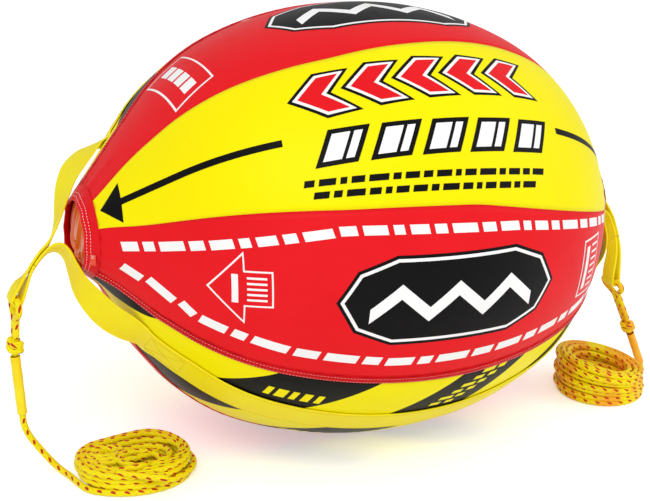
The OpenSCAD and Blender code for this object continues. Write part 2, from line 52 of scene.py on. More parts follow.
look = Vector((0.4406, 0.8599, -0.2580)).normalized()
head_tip = math.radians(2.445)
level = look.cross(Vector((0, 0, 1))).normalized()
above = level.cross(look)
right = level * math.cos(head_tip) + above * math.sin(head_tip)
upright = above * math.cos(head_tip) - level * math.sin(head_tip)
onlooker = bpy.data.cameras.new("onlooker")
onlooker.sensor_fit = "HORIZONTAL"
onlooker.sensor_width = 36
onlooker.lens = 70.56
onlooker.shift_x = -0.0439
onlooker.shift_y = -0.0527
onlooker.clip_end = 60
view = bpy.data.objects.new("onlooker", onlooker)
view.matrix_world = Matrix.Translation(stand_at) @ Matrix((right, upright, -look)).transposed().to_4x4()
bpy.context.scene.collection.objects.link(view)
bpy.context.scene.camera = view
bpy.context.scene.view_settings.view_transform = "Standard"

# ---- The front tow rope ----
# A 12.5 mm hollow braid of yellow polyethylene with a dark red tracer strand. Its
# bight goes through the webbing eye and is tied off in a knot, a plain plastic
# sleeve covers the next stretch, and the rest lies on the floor in a loose bundle.
rope_thick = 0.0125
rope_lies = rope_thick / 2 + 0.0005


def curve_through(points, steps):
    points = [np.array(p, float) for p in points]
    last = len(points) - 1
    path = []
    for i in range(last):
        a, b = points[max(i - 1, 0)], points[i]
        c, d = points[i + 1], points[min(i + 2, last)]
        for k in range(steps):
            t = k / steps
            path.append(((-a + 3 * b - 3 * c + d) * t ** 3 + (2 * a - 5 * b + 4 * c - d) * t * t
                         + (c - a) * t + 2 * b) / 2)
    return np.array(path + [points[last]])


def evenly(path, spacing):
    path = np.array(path, float)
    gone = np.r_[0, np.cumsum(np.linalg.norm(np.diff(path, axis=0), axis=1))]
    at = np.linspace(0, gone[-1], max(3, int(round(gone[-1] / spacing)) + 1))
    return np.column_stack([np.interp(at, gone, path[:, k]) for k in range(3)])


def rope_length(path):
    return float(np.linalg.norm(np.diff(np.array(path), axis=0), axis=1).sum())


def unit(v):
    v = np.array(v, float)
    return v / np.linalg.norm(v)


# Rows and columns of points become one skin, with its cut marked out in metres
def skin(grid, marks=None, wraps=False, slot=0, flip=False, caps=False):
    rows, cols = grid.shape[:2]
    points = [tuple(p) for p in grid.reshape(-1, 3)]
    if marks is None:
        across = cols + 1 if wraps else cols
        marks = np.stack(np.meshgrid(np.linspace(0, 1, rows), np.linspace(0, 1, across), indexing="ij"), -1)
    faces, places = [], []
    for i in range(rows - 1):
        for j in range(cols if wraps else cols - 1):
            k = (j + 1) % cols
            face = [i * cols + j, (i + 1) * cols + j, (i + 1) * cols + k, i * cols + k]
            place = [marks[i, j], marks[i + 1, j], marks[i + 1, j + 1], marks[i, j + 1]]
            faces.append(face[::-1] if flip else face)
            places.extend(place[::-1] if flip else place)
    if caps:
        for row, turned in ((0, not flip), (rows - 1, flip)):
            points.append(tuple(grid[row].mean(axis=0)))
            for j in range(cols):
                k = (j + 1) % cols
                face = [len(points) - 1, row * cols + j, row * cols + k]
                place = [marks[row, 0], marks[row, j], marks[row, min(j + 1, marks.shape[1] - 1)]]
                faces.append(face[::-1] if turned else face)
                places.extend(place[::-1] if turned else place)
    return {"points": points, "faces": faces, "places": places, "slot": slot}


def make(name, skins, finishes, body, stands_for=()):
    points, faces, places, slots = [], [], [], []
    for part in skins:
        start = len(points)
        points.extend(part["points"])
        faces.extend([start + k for k in face] for face in part["faces"])
        places.extend(part["places"])
        slots.extend([part["slot"]] * len(part["faces"]) if np.isscalar(part["slot"]) else part["slot"])
    mesh = bpy.data.meshes.new(name)
    mesh.from_pydata(points, [], faces)
    layer = mesh.uv_layers.new(name="cut")
    layer.data.foreach_set("uv", np.array(places, float).reshape(-1))
    mesh.polygons.foreach_set("use_smooth", [True] * len(faces))
    mesh.polygons.foreach_set("material_index", [int(s) for s in slots])
    for finish in finishes:
        mesh.materials.append(finish)
    mesh.update()
    made = bpy.data.objects.new(name, mesh)
    bpy.context.scene.collection.objects.link(made)
    if body:
        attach(made, body)
    if stands_for:
        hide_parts(*stands_for)
    return made


def frames_along(path, first_up=(0, 0, 1)):
    path = np.array(path)
    ahead = np.gradient(path, axis=0)
    ahead /= np.linalg.norm(ahead, axis=1)[:, None]
    up = np.array(first_up, float)
    if abs(up.dot(ahead[0])) > 0.95:
        up = np.array((0.0, 1.0, 0.0))
    ups = []
    for t in ahead:
        up = up - t * up.dot(t)
        up = up / np.linalg.norm(up)
        ups.append(up)
    ups = np.array(ups)
    return ahead, ups, np.cross(ahead, ups)


# A round strand along a path, its ends rounded off as melted rope ends are
def strand(path, thick, sides=12, slot=0, start_mark=0.0, round_ends=True):
    path = np.array(path)
    ahead, ups, outs = frames_along(path)
    gone = np.r_[0, np.cumsum(np.linalg.norm(np.diff(path, axis=0), axis=1))]
    wide = np.full(len(path), thick / 2)
    if round_ends:
        tip = [0.35, 0.75, 0.93]
        back = np.array([0.0, 0.12, 0.3]) * thick
        first = [path[0] + ahead[0] * b for b in back]
        last = [path[-1] - ahead[-1] * b for b in back[::-1]]
        inner = (gone > back[-1] * 1.3) & (gone < gone[-1] - back[-1] * 1.3)
        path = np.vstack([first, path[inner], last])
        wide = np.r_[np.array(tip) * thick / 2, wide[inner], np.array(tip[::-1]) * thick / 2]
        gone = np.r_[0, np.cumsum(np.linalg.norm(np.diff(path, axis=0), axis=1))]
        ahead, ups, outs = frames_along(path, ups[0])
    turn = 2 * np.pi * np.arange(sides) / sides
    grid = path[:, None] + wide[:, None, None] * (
        ups[:, None] * np.cos(turn)[None, :, None] + outs[:, None] * np.sin(turn)[None, :, None])
    marks = np.stack(np.meshgrid(gone + start_mark, np.arange(sides + 1) / sides, indexing="ij"), -1)
    return skin(grid, marks, wraps=True, slot=slot, flip=True, caps=True)


def dye(code):
    parts = [int(code[k:k + 2], 16) / 255 for k in (1, 3, 5)]
    return tuple(c / 12.92 if c <= 0.04045 else ((c + 0.055) / 1.055) ** 2.4 for c in parts) + (1.0,)


# The dye shop's bench: puts a node down and ties its inputs
class Bench:
    def __init__(self, tree):
        self.tree = tree

    def tie(self, value, socket):
        self.tree.links.new(value, socket)

    def put(self, kind, ties=None, **settings):
        node = self.tree.nodes.new(kind)
        for name, value in settings.items():
            setattr(node, name, value)
        for socket, value in (ties or {}).items():
            if isinstance(value, bpy.types.NodeSocket):
                self.tree.links.new(value, node.inputs[socket])
            else:
                node.inputs[socket].default_value = value
        return node

    def sum(self, operation, *values, clamp=False):
        return self.put("ShaderNodeMath", dict(enumerate(values)), operation=operation, use_clamp=clamp).outputs[0]

    def blend(self, share, a, b):
        return self.put("ShaderNodeMix", {0: share, 6: a, 7: b}, data_type="RGBA").outputs[2]

    def spread(self, value, low, high, to_low=0.0, to_high=1.0):
        return self.put("ShaderNodeMapRange", {0: value, 1: low, 2: high, 3: to_low, 4: to_high},
                        interpolation_type="SMOOTHSTEP").outputs[0]

    def noise(self, place, scale, detail=2.0, rough=0.5):
        return self.put("ShaderNodeTexNoise", {"Vector": place, "Scale": scale, "Detail": detail,
                                               "Roughness": rough}).outputs[0]


def new_group(name, takes, gives):
    tree = bpy.data.node_groups.new(name, "ShaderNodeTree")
    for kind, socket in takes:
        tree.interface.new_socket(socket, in_out="INPUT", socket_type=kind)
    for kind, socket in gives:
        tree.interface.new_socket(socket, in_out="OUTPUT", socket_type=kind)
    bench = Bench(tree)
    taken = tree.nodes.new("NodeGroupInput")
    given = tree.nodes.new("NodeGroupOutput")
    return tree, bench, taken.outputs, given.inputs


def new_finish(name, rough=0.5, gloss=0.5, coat=0.0):
    finish = bpy.data.materials.new(name)
    finish.use_nodes = True
    shader = finish.node_tree.nodes["Principled BSDF"]
    shader.inputs["Roughness"].default_value = rough
    shader.inputs["Specular IOR Level"].default_value = gloss
    shader.inputs["Coat Weight"].default_value = coat
    return finish, Bench(finish.node_tree), shader


# Eight plaits round the rope, the tracer strand where it comes to the top, and the grooves between the plaits, which
# the finish darkens as painted shade
braid, bench, taken, given = new_group(
    "braid", [("NodeSocketVector", "Place"), ("NodeSocketFloat", "Pitch"), ("NodeSocketFloat", "Tracer pitch")],
    [("NodeSocketFloat", "Relief"), ("NodeSocketFloat", "Tracer"), ("NodeSocketFloat", "Groove shade")])
apart = bench.put("ShaderNodeSeparateXYZ", {0: taken["Place"]}).outputs
steps = bench.sum("DIVIDE", apart[0], taken["Pitch"])
right_lay = bench.sum("MULTIPLY", bench.sum("MULTIPLY_ADD", apart[1], 4.0, steps), math.pi)
left_lay = bench.sum("MULTIPLY", bench.sum("MULTIPLY_ADD", apart[1], -4.0, steps), math.pi)
relief = bench.sum("MULTIPLY", bench.sum("ABSOLUTE", bench.sum("SINE", right_lay)),
                   bench.sum("ABSOLUTE", bench.sum("SINE", left_lay)))
rows = bench.sum("MULTIPLY", apart[1], 3.0)
shifted = bench.sum("ADD", bench.sum("DIVIDE", apart[0], taken["Tracer pitch"]),
                    bench.sum("DIVIDE", bench.sum("FLOOR", rows), 3.0))
wander = bench.noise(taken["Place"], 9.0, 1.0)
shifted = bench.sum("MULTIPLY_ADD", wander, 0.35, shifted)
length_off = bench.sum("SUBTRACT", bench.sum("FRACT", shifted), 0.5)
width_off = bench.sum("SUBTRACT", bench.sum("FRACT", rows), 0.5)
width_off = bench.sum("MULTIPLY_ADD", length_off, -0.55, width_off)
far = bench.sum("ADD", bench.sum("POWER", bench.sum("DIVIDE", length_off, 0.23), 2.0),
                bench.sum("POWER", bench.sum("DIVIDE", width_off, 0.2), 2.0))
bench.tie(relief, given["Relief"])
bench.tie(bench.spread(far, 1.15, 0.7), given["Tracer"])
# Painted shade mask: strongest where the relief is low, in the grooves between the plaits
bench.tie(bench.spread(relief, 0.28, 0.0), given["Groove shade"])


# fresh and worn are the braid's own patchy colours and tracer is the red strand; groove is the painted shade laid into
# the grooves between the plaits
def braided_finish(name, fresh, worn, tracer, groove):
    finish, bench, shader = new_finish(name, rough=0.55, gloss=0.25)
    place = bench.put("ShaderNodeUVMap", uv_map="cut").outputs[0]
    plaits = bench.put("ShaderNodeGroup", node_tree=braid)
    bench.tie(place, plaits.inputs["Place"])
    plaits.inputs["Pitch"].default_value = 0.012
    plaits.inputs["Tracer pitch"].default_value = 0.025
    where = bench.put("ShaderNodeTexCoord").outputs["Object"]
    patchy = bench.spread(bench.noise(where, 14.0, 2.0), 0.42, 0.68)
    colour = bench.blend(patchy, dye(fresh), dye(worn))
    # Painted shade: the grooves between the plaits are darkened towards the groove colour
    colour = bench.blend(bench.sum("MULTIPLY", plaits.outputs["Groove shade"], 0.35), colour, dye(groove))
    colour = bench.blend(plaits.outputs["Tracer"], colour, dye(tracer))
    bench.tie(colour, shader.inputs["Base Color"])
    bump = bench.put("ShaderNodeBump", {"Height": plaits.outputs["Relief"], "Strength": 0.7, "Distance": 0.0009})
    bench.tie(bump.outputs[0], shader.inputs["Normal"])
    rough = bench.spread(plaits.outputs["Relief"], 0.0, 1.0, 0.62, 0.42)
    bench.tie(rough, shader.inputs["Roughness"])
    return finish


# The last colour is the painted shade in the grooves between the plaits
front_braid = braided_finish("front_rope_braid", "#FFF200", "#FFE800", "#C9281A", "#DDBB00")

front_eye = np.array((-0.708801, -0.062, 0.357))
front_down = unit((-0.03, 0, -1))
front_sleeve_down = unit((0.09, 0, -1))
knot_length = 0.038
front_knot_top = front_eye + front_down * 0.072
front_sleeve_top = front_knot_top + front_down * (knot_length - 0.001)
front_sleeve_end = front_sleeve_top + front_sleeve_down * 0.115

# Half of the bight: out of the eye, round its edge, and down beside the other half
half_bight = [(0.007, 0), (0.022, 0), (0.029, 0.004), (0.031, 0.011), (0.029, 0.018),
              (0.023, 0.025), (0.0155, 0.030), (0.009, 0.036), (0.007, 0.044)]


def bight_path(eye_at, down, length):
    side = unit(np.array((0, 1, 0)) - down * down[1])
    half = half_bight + [(0.007, 0.044 + (length - 0.044) * k / 3) for k in (1, 2, 3)]
    one = [eye_at + side * p[0] + down * p[1] for p in half]
    other = [eye_at - side * p[0] + down * p[1] for p in half]
    return evenly(curve_through(other[::-1] + one, 4), 0.004)


front_bight_path = bight_path(front_eye, front_down, 0.074)
front_bight = make("front_rope_bight", [strand(front_bight_path, rope_thick, 14)], [front_braid],
                   "front_drop", ["rope_front_loop"])
round(rope_length(front_bight_path), 3)


# The knot: the bight's two parts wrapped twice and crossed over on the outside
def knot_wraps(top, down, length):
    side = unit(np.cross(down, (0, 1, 0)))
    front = np.cross(side, down)
    low, high = rope_thick * 0.48, length - rope_thick * 0.48

    def wrap(turns, start, wide, lift, twist=0.0):
        t = np.linspace(0, 1, 44)
        angle = start + 2 * np.pi * turns * t
        drop = low + (high - low) * (lift[0] + (lift[1] - lift[0]) * t) + twist * np.sin(2 * angle)
        r = wide * (1 - 0.1 * np.cos(2 * np.pi * t * 2))
        return (top + down * drop[:, None] + side * (r * np.cos(angle))[:, None]
                + front * (r * np.sin(angle))[:, None])

    return [strand(wrap(1.25, 0.4, 0.0092, (0.0, 0.45), 0.0015), rope_thick * 0.94, 12),
            strand(wrap(-1.3, 2.3, 0.0098, (1.0, 0.35), 0.0018), rope_thick * 0.94, 12),
            strand(wrap(0.75, 3.6, 0.0104, (0.15, 0.95)), rope_thick * 0.9, 12),
            strand(np.linspace(top - down * 0.001, top + down * length, 9), rope_thick, 12)]


front_knot = make("front_rope_knot", knot_wraps(front_knot_top, front_down, knot_length), [front_braid],
                  "front_drop", ["rope_front_knot"])

# A smooth finish with clouds of two colours and a fine grain, each given as
# (scale, detail) and, for the grain, how strong and how deep it is
def cloudy_finish(name, colours, rough, clouds, grain, share=None, dull=None, gloss=0.5, coat=0.0):
    finish, bench, shader = new_finish(name, rough=rough, gloss=gloss, coat=coat)
    place = bench.put("ShaderNodeTexCoord").outputs["Object"]
    tone = bench.noise(place, *clouds)
    if dull:
        tone = bench.spread(tone, *share)
        bench.tie(bench.spread(tone, 0.0, 1.0, *dull), shader.inputs["Roughness"])
    bench.tie(bench.blend(tone, dye(colours[0]), dye(colours[1])), shader.inputs["Base Color"])
    scale, detail, strength, depth = grain
    fine = bench.put("ShaderNodeBump", {"Height": bench.noise(place, scale, detail), "Strength": strength,
                                        "Distance": depth})
    bench.tie(fine.outputs[0], shader.inputs["Normal"])
    return finish


# The sleeve: a smooth soft-vinyl tube with rounded lips, slightly dulled by handling
def sleeve_finish(name, fresh, dulled):
    return cloudy_finish(name, (fresh, dulled), 0.32, (26.0, 3.0), (120.0, 2.0, 0.12, 0.0006), (0.35, 0.75),
                         (0.28, 0.42), gloss=0.3)


front_sleeve_vinyl = sleeve_finish("front_sleeve_vinyl", "#FFEB1C", "#FFDD00")


def sleeve_skin(top, down, length, wide=0.0184):
    wall = 0.0014
    inner = wide / 2 - wall
    middle = wide / 2 - wall / 2
    drops = [0.006, 0.0012, 0.0, 0.0004, 0.0014] + list(np.linspace(0.012, length - 0.012, 12)) + [
        length - 0.0014, length - 0.0004, length, length - 0.0012, length - 0.006]
    widths = [inner, inner, middle, wide / 2 - 0.0002, wide / 2] + [
        wide / 2 + 0.00025 * math.sin(5 * k) for k in range(12)] + [
        wide / 2, wide / 2 - 0.0002, middle, inner, inner]
    side = unit(np.cross(down, (0, 1, 0)))
    front = np.cross(side, down)
    turn = 2 * np.pi * np.arange(28) / 28
    grid = np.array([top + down * d + (side * np.cos(turn)[:, None] + front * np.sin(turn)[:, None]) * w
                     for d, w in zip(drops, widths)])
    return skin(grid, wraps=True, flip=False)


front_sleeve = make("front_rope_sleeve", [sleeve_skin(front_sleeve_top, front_sleeve_down, 0.115)],
                    [front_sleeve_vinyl], "front_drop", ["rope_front_sleeve"])


# Turns laid on the floor: each stop says after how many turns the loop has a
# middle, a half length, a half width, a waist on its far side and a height
def lay_turns(stops, start_angle, way):
    stops = np.array(stops, float)
    turns = np.arange(0, stops[-1, 0], 1 / 90)
    mid_x, mid_y, half_l, half_w, waist, lift = [np.interp(turns, stops[:, 0], stops[:, k]) for k in range(1, 7)]
    angle = start_angle + way * 2 * np.pi * turns
    sway = 1 + 0.018 * np.sin(2.3 * angle + 1) + 0.014 * np.sin(0.77 * angle)
    dip = 1 - waist * np.exp(-((np.cos(angle) + 0.1) / 0.4) ** 2) * (np.sin(angle) > 0)
    dip += 1.5 * waist * np.exp(-((np.cos(angle) - 0.62) / 0.38) ** 2) * (np.sin(angle) > 0)
    x = mid_x + half_l * sway * np.cos(angle)
    y = mid_y + half_w * sway * dip * np.sin(angle)
    z = lift + 0.0011 * np.sin(1.7 * angle + 0.4) * (lift > rope_lies + 0.002)
    smooth = np.ones(13) / 13
    path = np.column_stack([x, y, z])
    padded_path = np.vstack([np.repeat(path[:1], 6, axis=0), path, np.repeat(path[-1:], 6, axis=0)])
    return np.column_stack([np.convolve(padded_path[:, k], smooth, "valid") for k in range(3)])


front_run = [front_sleeve_end - front_sleeve_down * 0.012, front_sleeve_end + front_sleeve_down * 0.0107] + [
    front_sleeve_end * (1, 1, 0) + (dx, dy, rope_lies + (front_sleeve_end[2] - rope_lies) * share)
    for dx, dy, share in ((0.0036, 0, 0.795), (0.0121, 0, 0.626), (0.0281, 0, 0.428), (0.0471, -0.002, 0.219),
                          (0.0621, -0.007, 0.08), (0.0721, -0.016, 0.015), (0.0781, -0.029, 0))]
one, two, three, four = (rope_lies + 0.0113 * k for k in range(4))
front_turns = lay_turns([
    (0.0, -0.505, -0.117, 0.117, 0.097, 0.08, one), (3.6, -0.505, -0.138, 0.037, 0.027, 0.0, one),
    (3.9, -0.505, -0.138, 0.037, 0.027, 0.0, two), (7.5, -0.505, -0.117, 0.117, 0.097, 0.12, two),
    (7.8, -0.504, -0.116, 0.116, 0.096, 0.16, three), (9.8, -0.503, -0.115, 0.088, 0.071, 0.2, three),
    (10.2, -0.556, -0.097, 0.048, 0.038, 0.0, three), (12.6, -0.561, -0.094, 0.019, 0.011, 0.0, three),
    (12.9, -0.561, -0.094, 0.019, 0.011, 0.0, four), (15.3, -0.556, -0.097, 0.048, 0.038, 0.0, four),
    (15.7, -0.478, -0.122, 0.066, 0.050, 0.0, three), (17.4, -0.498, -0.137, 0.040, 0.028, 0.0, three),
    (17.7, -0.498, -0.137, 0.040, 0.028, 0.0, four), (19.6, -0.480, -0.122, 0.068, 0.054, 0.0, four),
    (20.1, -0.503, -0.115, 0.092, 0.076, 0.2, four), (22.3, -0.504, -0.115, 0.114, 0.096, 0.18, four)],
    math.pi, 1)
front_tail = [front_turns[-1] + (0.004, -0.03, 0.004), (-0.560, -0.196, four + 0.009), (-0.520, -0.190, four + 0.0105),
              (-0.494, -0.170, four + 0.003), (-0.486, -0.148, 0.030), (-0.492, -0.134, 0.016), (-0.502, -0.131, 0.013)]
front_path = evenly(curve_through(front_run + list(front_turns[6::6]) + front_tail, 6), 0.005)
front_rope = make("front_rope", [strand(front_path, rope_thick, 12)], [front_braid], None,
                  ["rope_front_run", "rope_front_coil"])
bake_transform(front_rope)


# The stopper knot at the rope's free end, with its short melted tail
def stopper_knot(at, wide):
    at = np.array(at, float)
    t = np.linspace(0, 1, 60)
    r = (wide - rope_thick) / 2
    angle = 2 * np.pi * 1.6 * t
    over = np.column_stack([r * np.cos(angle), r * np.sin(angle) * 0.9, r * 0.75 * np.sin(angle * 1.5 + 0.6)])
    tail = np.linspace((0, 0, 0), (-0.004, 0.006, wide / 2 + 0.002), 8)
    return [strand(at + over, rope_thick * 0.96, 12), strand(at + tail, rope_thick * 0.9, 12)]


front_end_knot = make("front_rope_end_knot", stopper_knot((-0.50468, -0.1358, 0.0135), 0.026), [front_braid], "ball",
                      ["rope_front_end_knot"])

# ---- The rear tow rope ----
# The same rope at the other end, made off in the same way: a longer bight, a
# knot and a sleeve, then a short run down to the floor, and a
# round basket of turns stacked on each other on the floor.
# The last colour is the painted shade in the grooves between the plaits
rear_braid = braided_finish("rear_rope_braid", "#FFEE00", "#FFB62A", "#CE3A1C", "#D9A800")
rear_eye = np.array((0.622801, -0.080, 0.257))
rear_down = unit((0.457, 0, -0.889))
rear_sleeve_down = unit((0.48, 0.09, -0.875))
rear_knot_top = rear_eye + rear_down * 0.116
rear_sleeve_top = rear_knot_top + rear_down * (knot_length - 0.001)
rear_sleeve_end = rear_sleeve_top + rear_sleeve_down * 0.095

rear_bight_path = bight_path(rear_eye, rear_down, 0.118)
rear_bight = make("rear_rope_bight", [strand(rear_bight_path, rope_thick, 14)], [rear_braid],
                  "rear_drop", ["rope_rear_loop"])
round(rope_length(rear_bight_path), 3)
rear_knot = make("rear_rope_knot", knot_wraps(rear_knot_top, rear_down, knot_length), [rear_braid],
                 "rear_drop", ["rope_rear_knot"])
rear_sleeve_vinyl = sleeve_finish("rear_sleeve_vinyl", "#FFC22E", "#FFB01E")
rear_sleeve = make("rear_rope_sleeve", [sleeve_skin(rear_sleeve_top, rear_sleeve_down, 0.095)],
                   [rear_sleeve_vinyl], "rear_drop", ["rope_rear_sleeve"])

rear_middle = np.array((0.596412, -0.101095, 0))
rear_run_stops = [rear_sleeve_end - rear_sleeve_down * 0.012, rear_sleeve_end + rear_sleeve_down * 0.0107] + [
    rear_sleeve_end * (1, 1, 0) + (dx, dy, rope_lies + (rear_sleeve_end[2] - rope_lies) * share)
    for dx, dy, share in ((0.0103, 0.005, 0.41), (0.0173, 0.012, 0.145), (0.0233, 0.026, 0), (0.0223, 0.042, 0),
                          (0.0123, 0.056, 0), (-0.0037, 0.065, 0), (-0.0237, 0.066, 0), (-0.0427, 0.058, 0))] + [
    (0.6845, -0.030, rope_lies)]
rear_run_stops = [np.array(stop) for stop in rear_run_stops]
rear_run_path = evenly(curve_through(rear_run_stops, 6), 0.005)
rear_run = make("rear_rope_run", [strand(rear_run_path, rope_thick, 12)], [rear_braid], None, ["rope_rear_run"])
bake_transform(rear_run)
round(rope_length(rear_run_path), 3)


def basket_turns(middle, layers, turns_each, wide, narrow):
    stops = []
    for k in range(layers):
        start = k * (turns_each + 0.25)
        rim = (wide, narrow) if k % 2 == 0 else (narrow, wide)
        lift = rope_lies + 0.0112 * k
        stops += [(start, middle[0], middle[1], rim[0], rim[0], 0, lift),
                  (start + turns_each, middle[0], middle[1], rim[1], rim[1], 0, lift)]
    turns = lay_turns(stops, 0.0, -1)
    away = np.arctan2(turns[:, 1] - middle[1], turns[:, 0] - middle[0])
    turns[:, 2] += (turns[:, 2] - rope_lies) * 0.24 * np.cos(away - math.radians(150))
    return turns


rear_turns = basket_turns(rear_middle, 7, 2.7, 0.1005, 0.066)
rear_tail = [rear_middle + (r * math.cos(math.radians(way)), r * math.sin(math.radians(way)), lift)
             for way, r, lift in (
                 (-172, 0.058, 0.080), (-200, 0.053, 0.068), (-232, 0.048, 0.055), (-265, 0.043, 0.043),
                 (-298, 0.038, 0.032), (-330, 0.031, 0.022), (-356, 0.023, 0.015), (-370, 0.018, 0.0135))]
rear_start = [rear_run_path[-3], rear_run_path[-1], (0.687, -0.052, rope_lies), (0.694, -0.078, rope_lies)]
rear_path = evenly(curve_through(rear_start + list(rear_turns[6::6]) + rear_tail, 6), 0.005)
rear_rope = make("rear_rope", [strand(rear_path, rope_thick, 12, start_mark=rope_length(rear_run_path))], [rear_braid],
                 "ball", ["rope_rear_coil"])
rear_end_knot = make("rear_rope_end_knot", stopper_knot((0.613612, -0.101095, 0.0135), 0.026), [rear_braid], "ball",
                     ["rope_rear_end_knot"])

# ---- The cover's main panels ----
# Two gores of coated nylon cut from red and yellow cloth, one on each long side
# of the ball, held tight as a drum by the bladder. They meet the hazard panels in
# bound seams and run up to a hemmed collar round the opening at each end.
ball_radius, end_rounding, end_shift = 0.440, 0.440 * 0.941, 0.440 * 0.277
middle_height = 0.437
long_rounding = (end_shift ** 2 + ball_radius ** 2 - end_rounding ** 2) / (2 * (ball_radius - end_rounding))
join_angle = math.atan2(end_shift, long_rounding - ball_radius)
cone_slope = math.radians(52)
opening_radius = 0.080
main_angle, panel_lift, seam_width = 132.0, 38.0, 0.014
hazard_middle = panel_lift - 90


def girth(x, out=0.0):
    x = np.abs(np.asarray(x, float))
    cone_x = end_shift + (end_rounding + out) * math.sin(cone_slope)
    cone_r = (end_rounding + out) * math.cos(cone_slope)
    long_arc = ball_radius - long_rounding + np.sqrt(np.maximum((long_rounding + out) ** 2 - x * x, 0))
    end_arc = np.sqrt(np.maximum((end_rounding + out) ** 2 - (x - end_shift) ** 2, 1e-9))
    cone = cone_r - math.tan(cone_slope) * (x - cone_x)
    return np.where(x < (long_rounding + out) * math.sin(join_angle), long_arc, np.where(x < cone_x, end_arc, cone))


opening_x = (end_shift + end_rounding * math.sin(cone_slope)
             + (end_rounding * math.cos(cone_slope) - opening_radius) / math.tan(cone_slope))
collar_x = opening_x - 0.020
stations = np.linspace(-opening_x, opening_x, 4001)
along_meridian = np.r_[0, np.cumsum(np.hypot(np.diff(stations), np.diff(girth(stations))))]
along_meridian -= along_meridian[2000]


def meridian_of(x):
    return np.interp(x, stations, along_meridian)


def station_of(s):
    return np.interp(s, along_meridian, stations)


seam_angles = [panel_lift - main_angle / 2, panel_lift + main_angle / 2,
               panel_lift + 180 + main_angle / 2, panel_lift + 180 - main_angle / 2]


# The lower straps pull the front neck's underside up, so it isn't quite round
def pulled_up(x, angle):
    below = np.maximum(0, -np.sin(np.radians(angle)))
    share = np.clip((-np.asarray(x, float) - (opening_x - 0.110)) / 0.080, 0, 1)
    return 1 - 0.38 * below ** 1.25 * share * share * (3 - 2 * share)


# The cloth draws in a little where the seam's thread gathers it, and at the collars
def drawn_in(x, angle):
    x, angle = np.broadcast_arrays(np.asarray(x, float), np.asarray(angle, float))
    s = meridian_of(x)
    depth = np.zeros(x.shape)
    for n, seam_angle in enumerate(seam_angles):
        away = np.abs((angle - seam_angle + 180) % 360 - 180) * math.pi / 180 * girth(x)
        wave = 0.55 + 0.45 * np.sin(2 * np.pi * s / 0.041 + 1.7 * np.sin(s * 23 + n) + n)
        depth += 0.0011 * wave * np.exp(-(away / 0.016) ** 1.5)
    to_collar = np.abs(collar_x - np.abs(x))
    gather = 0.5 + 0.5 * np.sin(np.radians(angle) * 22 + 2 * np.sin(np.radians(angle) * 3))
    depth += 0.0022 * gather * np.exp(-to_collar / 0.03)
    depth += 0.0006 * (1 + np.sin(7 * s + np.radians(angle) * 2) * np.sin(np.radians(angle) * 5 + 3 * s))
    return depth


def on_ball(x, angle, out=0.0):
    x, angle = np.broadcast_arrays(np.asarray(x, float), np.asarray(angle, float))
    r = girth(x, 0) + (out - drawn_in(x, angle)) * np.sqrt(1 + np.gradient(girth(stations), stations)[
        np.clip(np.searchsorted(stations, x), 0, 4000)] ** 2)
    r = r * pulled_up(x, angle)
    turn = np.radians(angle)
    z = middle_height + r * np.sin(turn)
    return np.stack([x, -r * np.cos(turn), np.maximum(z, 0.0004 + out * 0.5)], -1)


# A plain weave seen through a thin coating, and soft hollows over the whole cloth
coated_weave, bench, taken, given = new_group(
    "coated_weave", [("NodeSocketVector", "Place"), ("NodeSocketFloat", "Threads per metre")],
    [("NodeSocketFloat", "Relief"), ("NodeSocketFloat", "Scuff")])
apart = bench.put("ShaderNodeSeparateXYZ", {0: taken["Place"]}).outputs
warp = bench.sum("SINE", bench.sum("MULTIPLY", bench.sum("MULTIPLY", apart[0], taken["Threads per metre"]), math.pi))
weft = bench.sum("SINE", bench.sum("MULTIPLY", bench.sum("MULTIPLY", apart[1], taken["Threads per metre"]), math.pi))
bench.tie(bench.sum("MULTIPLY", warp, weft), given["Relief"])
bench.tie(bench.spread(bench.noise(taken["Place"], 22.0, 4.0, 0.6), 0.55, 0.8), given["Scuff"])


def coated_cloth(name, rough, dulled):
    finish, bench, shader = new_finish(name, rough=rough, gloss=0.08)
    place = bench.put("ShaderNodeUVMap", uv_map="cut").outputs[0]
    weave = bench.put("ShaderNodeGroup", {"Place": place, "Threads per metre": 900.0}, node_tree=coated_weave)
    scuff = weave.outputs["Scuff"]
    bench.tie(bench.spread(scuff, 0.0, 1.0, dulled, dulled + 0.14), shader.inputs["Roughness"])
    hollow = bench.put("ShaderNodeBump", {"Height": bench.noise(place, 9.0, 3.0), "Strength": 0.16, "Distance": 0.006})
    bump = bench.put("ShaderNodeBump", {"Height": weave.outputs["Relief"], "Strength": 0.35, "Distance": 0.00012,
                                        "Normal": hollow.outputs[0]})
    bench.tie(bump.outputs[0], shader.inputs["Normal"])
    return finish, bench, shader, place, scuff


def cover_finish(name, colour, faded, rough=0.42):
    finish, bench, shader, place, scuff = coated_cloth(name, rough, rough)
    tone = bench.spread(bench.noise(place, 5.0, 2.0), 0.3, 0.7)
    tone = bench.sum("MULTIPLY_ADD", scuff, 0.35, bench.sum("MULTIPLY", tone, 0.45))
    bench.tie(bench.blend(tone, dye(colour), dye(faded)), shader.inputs["Base Color"])
    return finish


cover_red = cover_finish("cover_red", "#ED1C24", "#E5161F")
cover_yellow = cover_finish("cover_yellow", "#FFF200", "#FFEB00")

# The yellow cloth's lower and upper edges: place along the ball, angle round it
yellow_low = np.array([(-0.567, 27.5), (-0.53, 23.0), (-0.5, 21.6), (-0.45, 20.9), (-0.369, 20.1), (-0.207, 18.3),
                       (0.036, 16.9), (0.217, 13.7), (0.39, 10.6), (0.567, 7.5)])
yellow_high = np.array([(-0.567, 56.5), (-0.53, 63.5), (-0.5, 65.2), (-0.45, 64.0), (-0.40, 62.6), (-0.306, 61.0),
                        (-0.171, 59.8), (0.0, 61.5), (0.217, 64.9), (0.39, 66.5), (0.567, 66.0)])


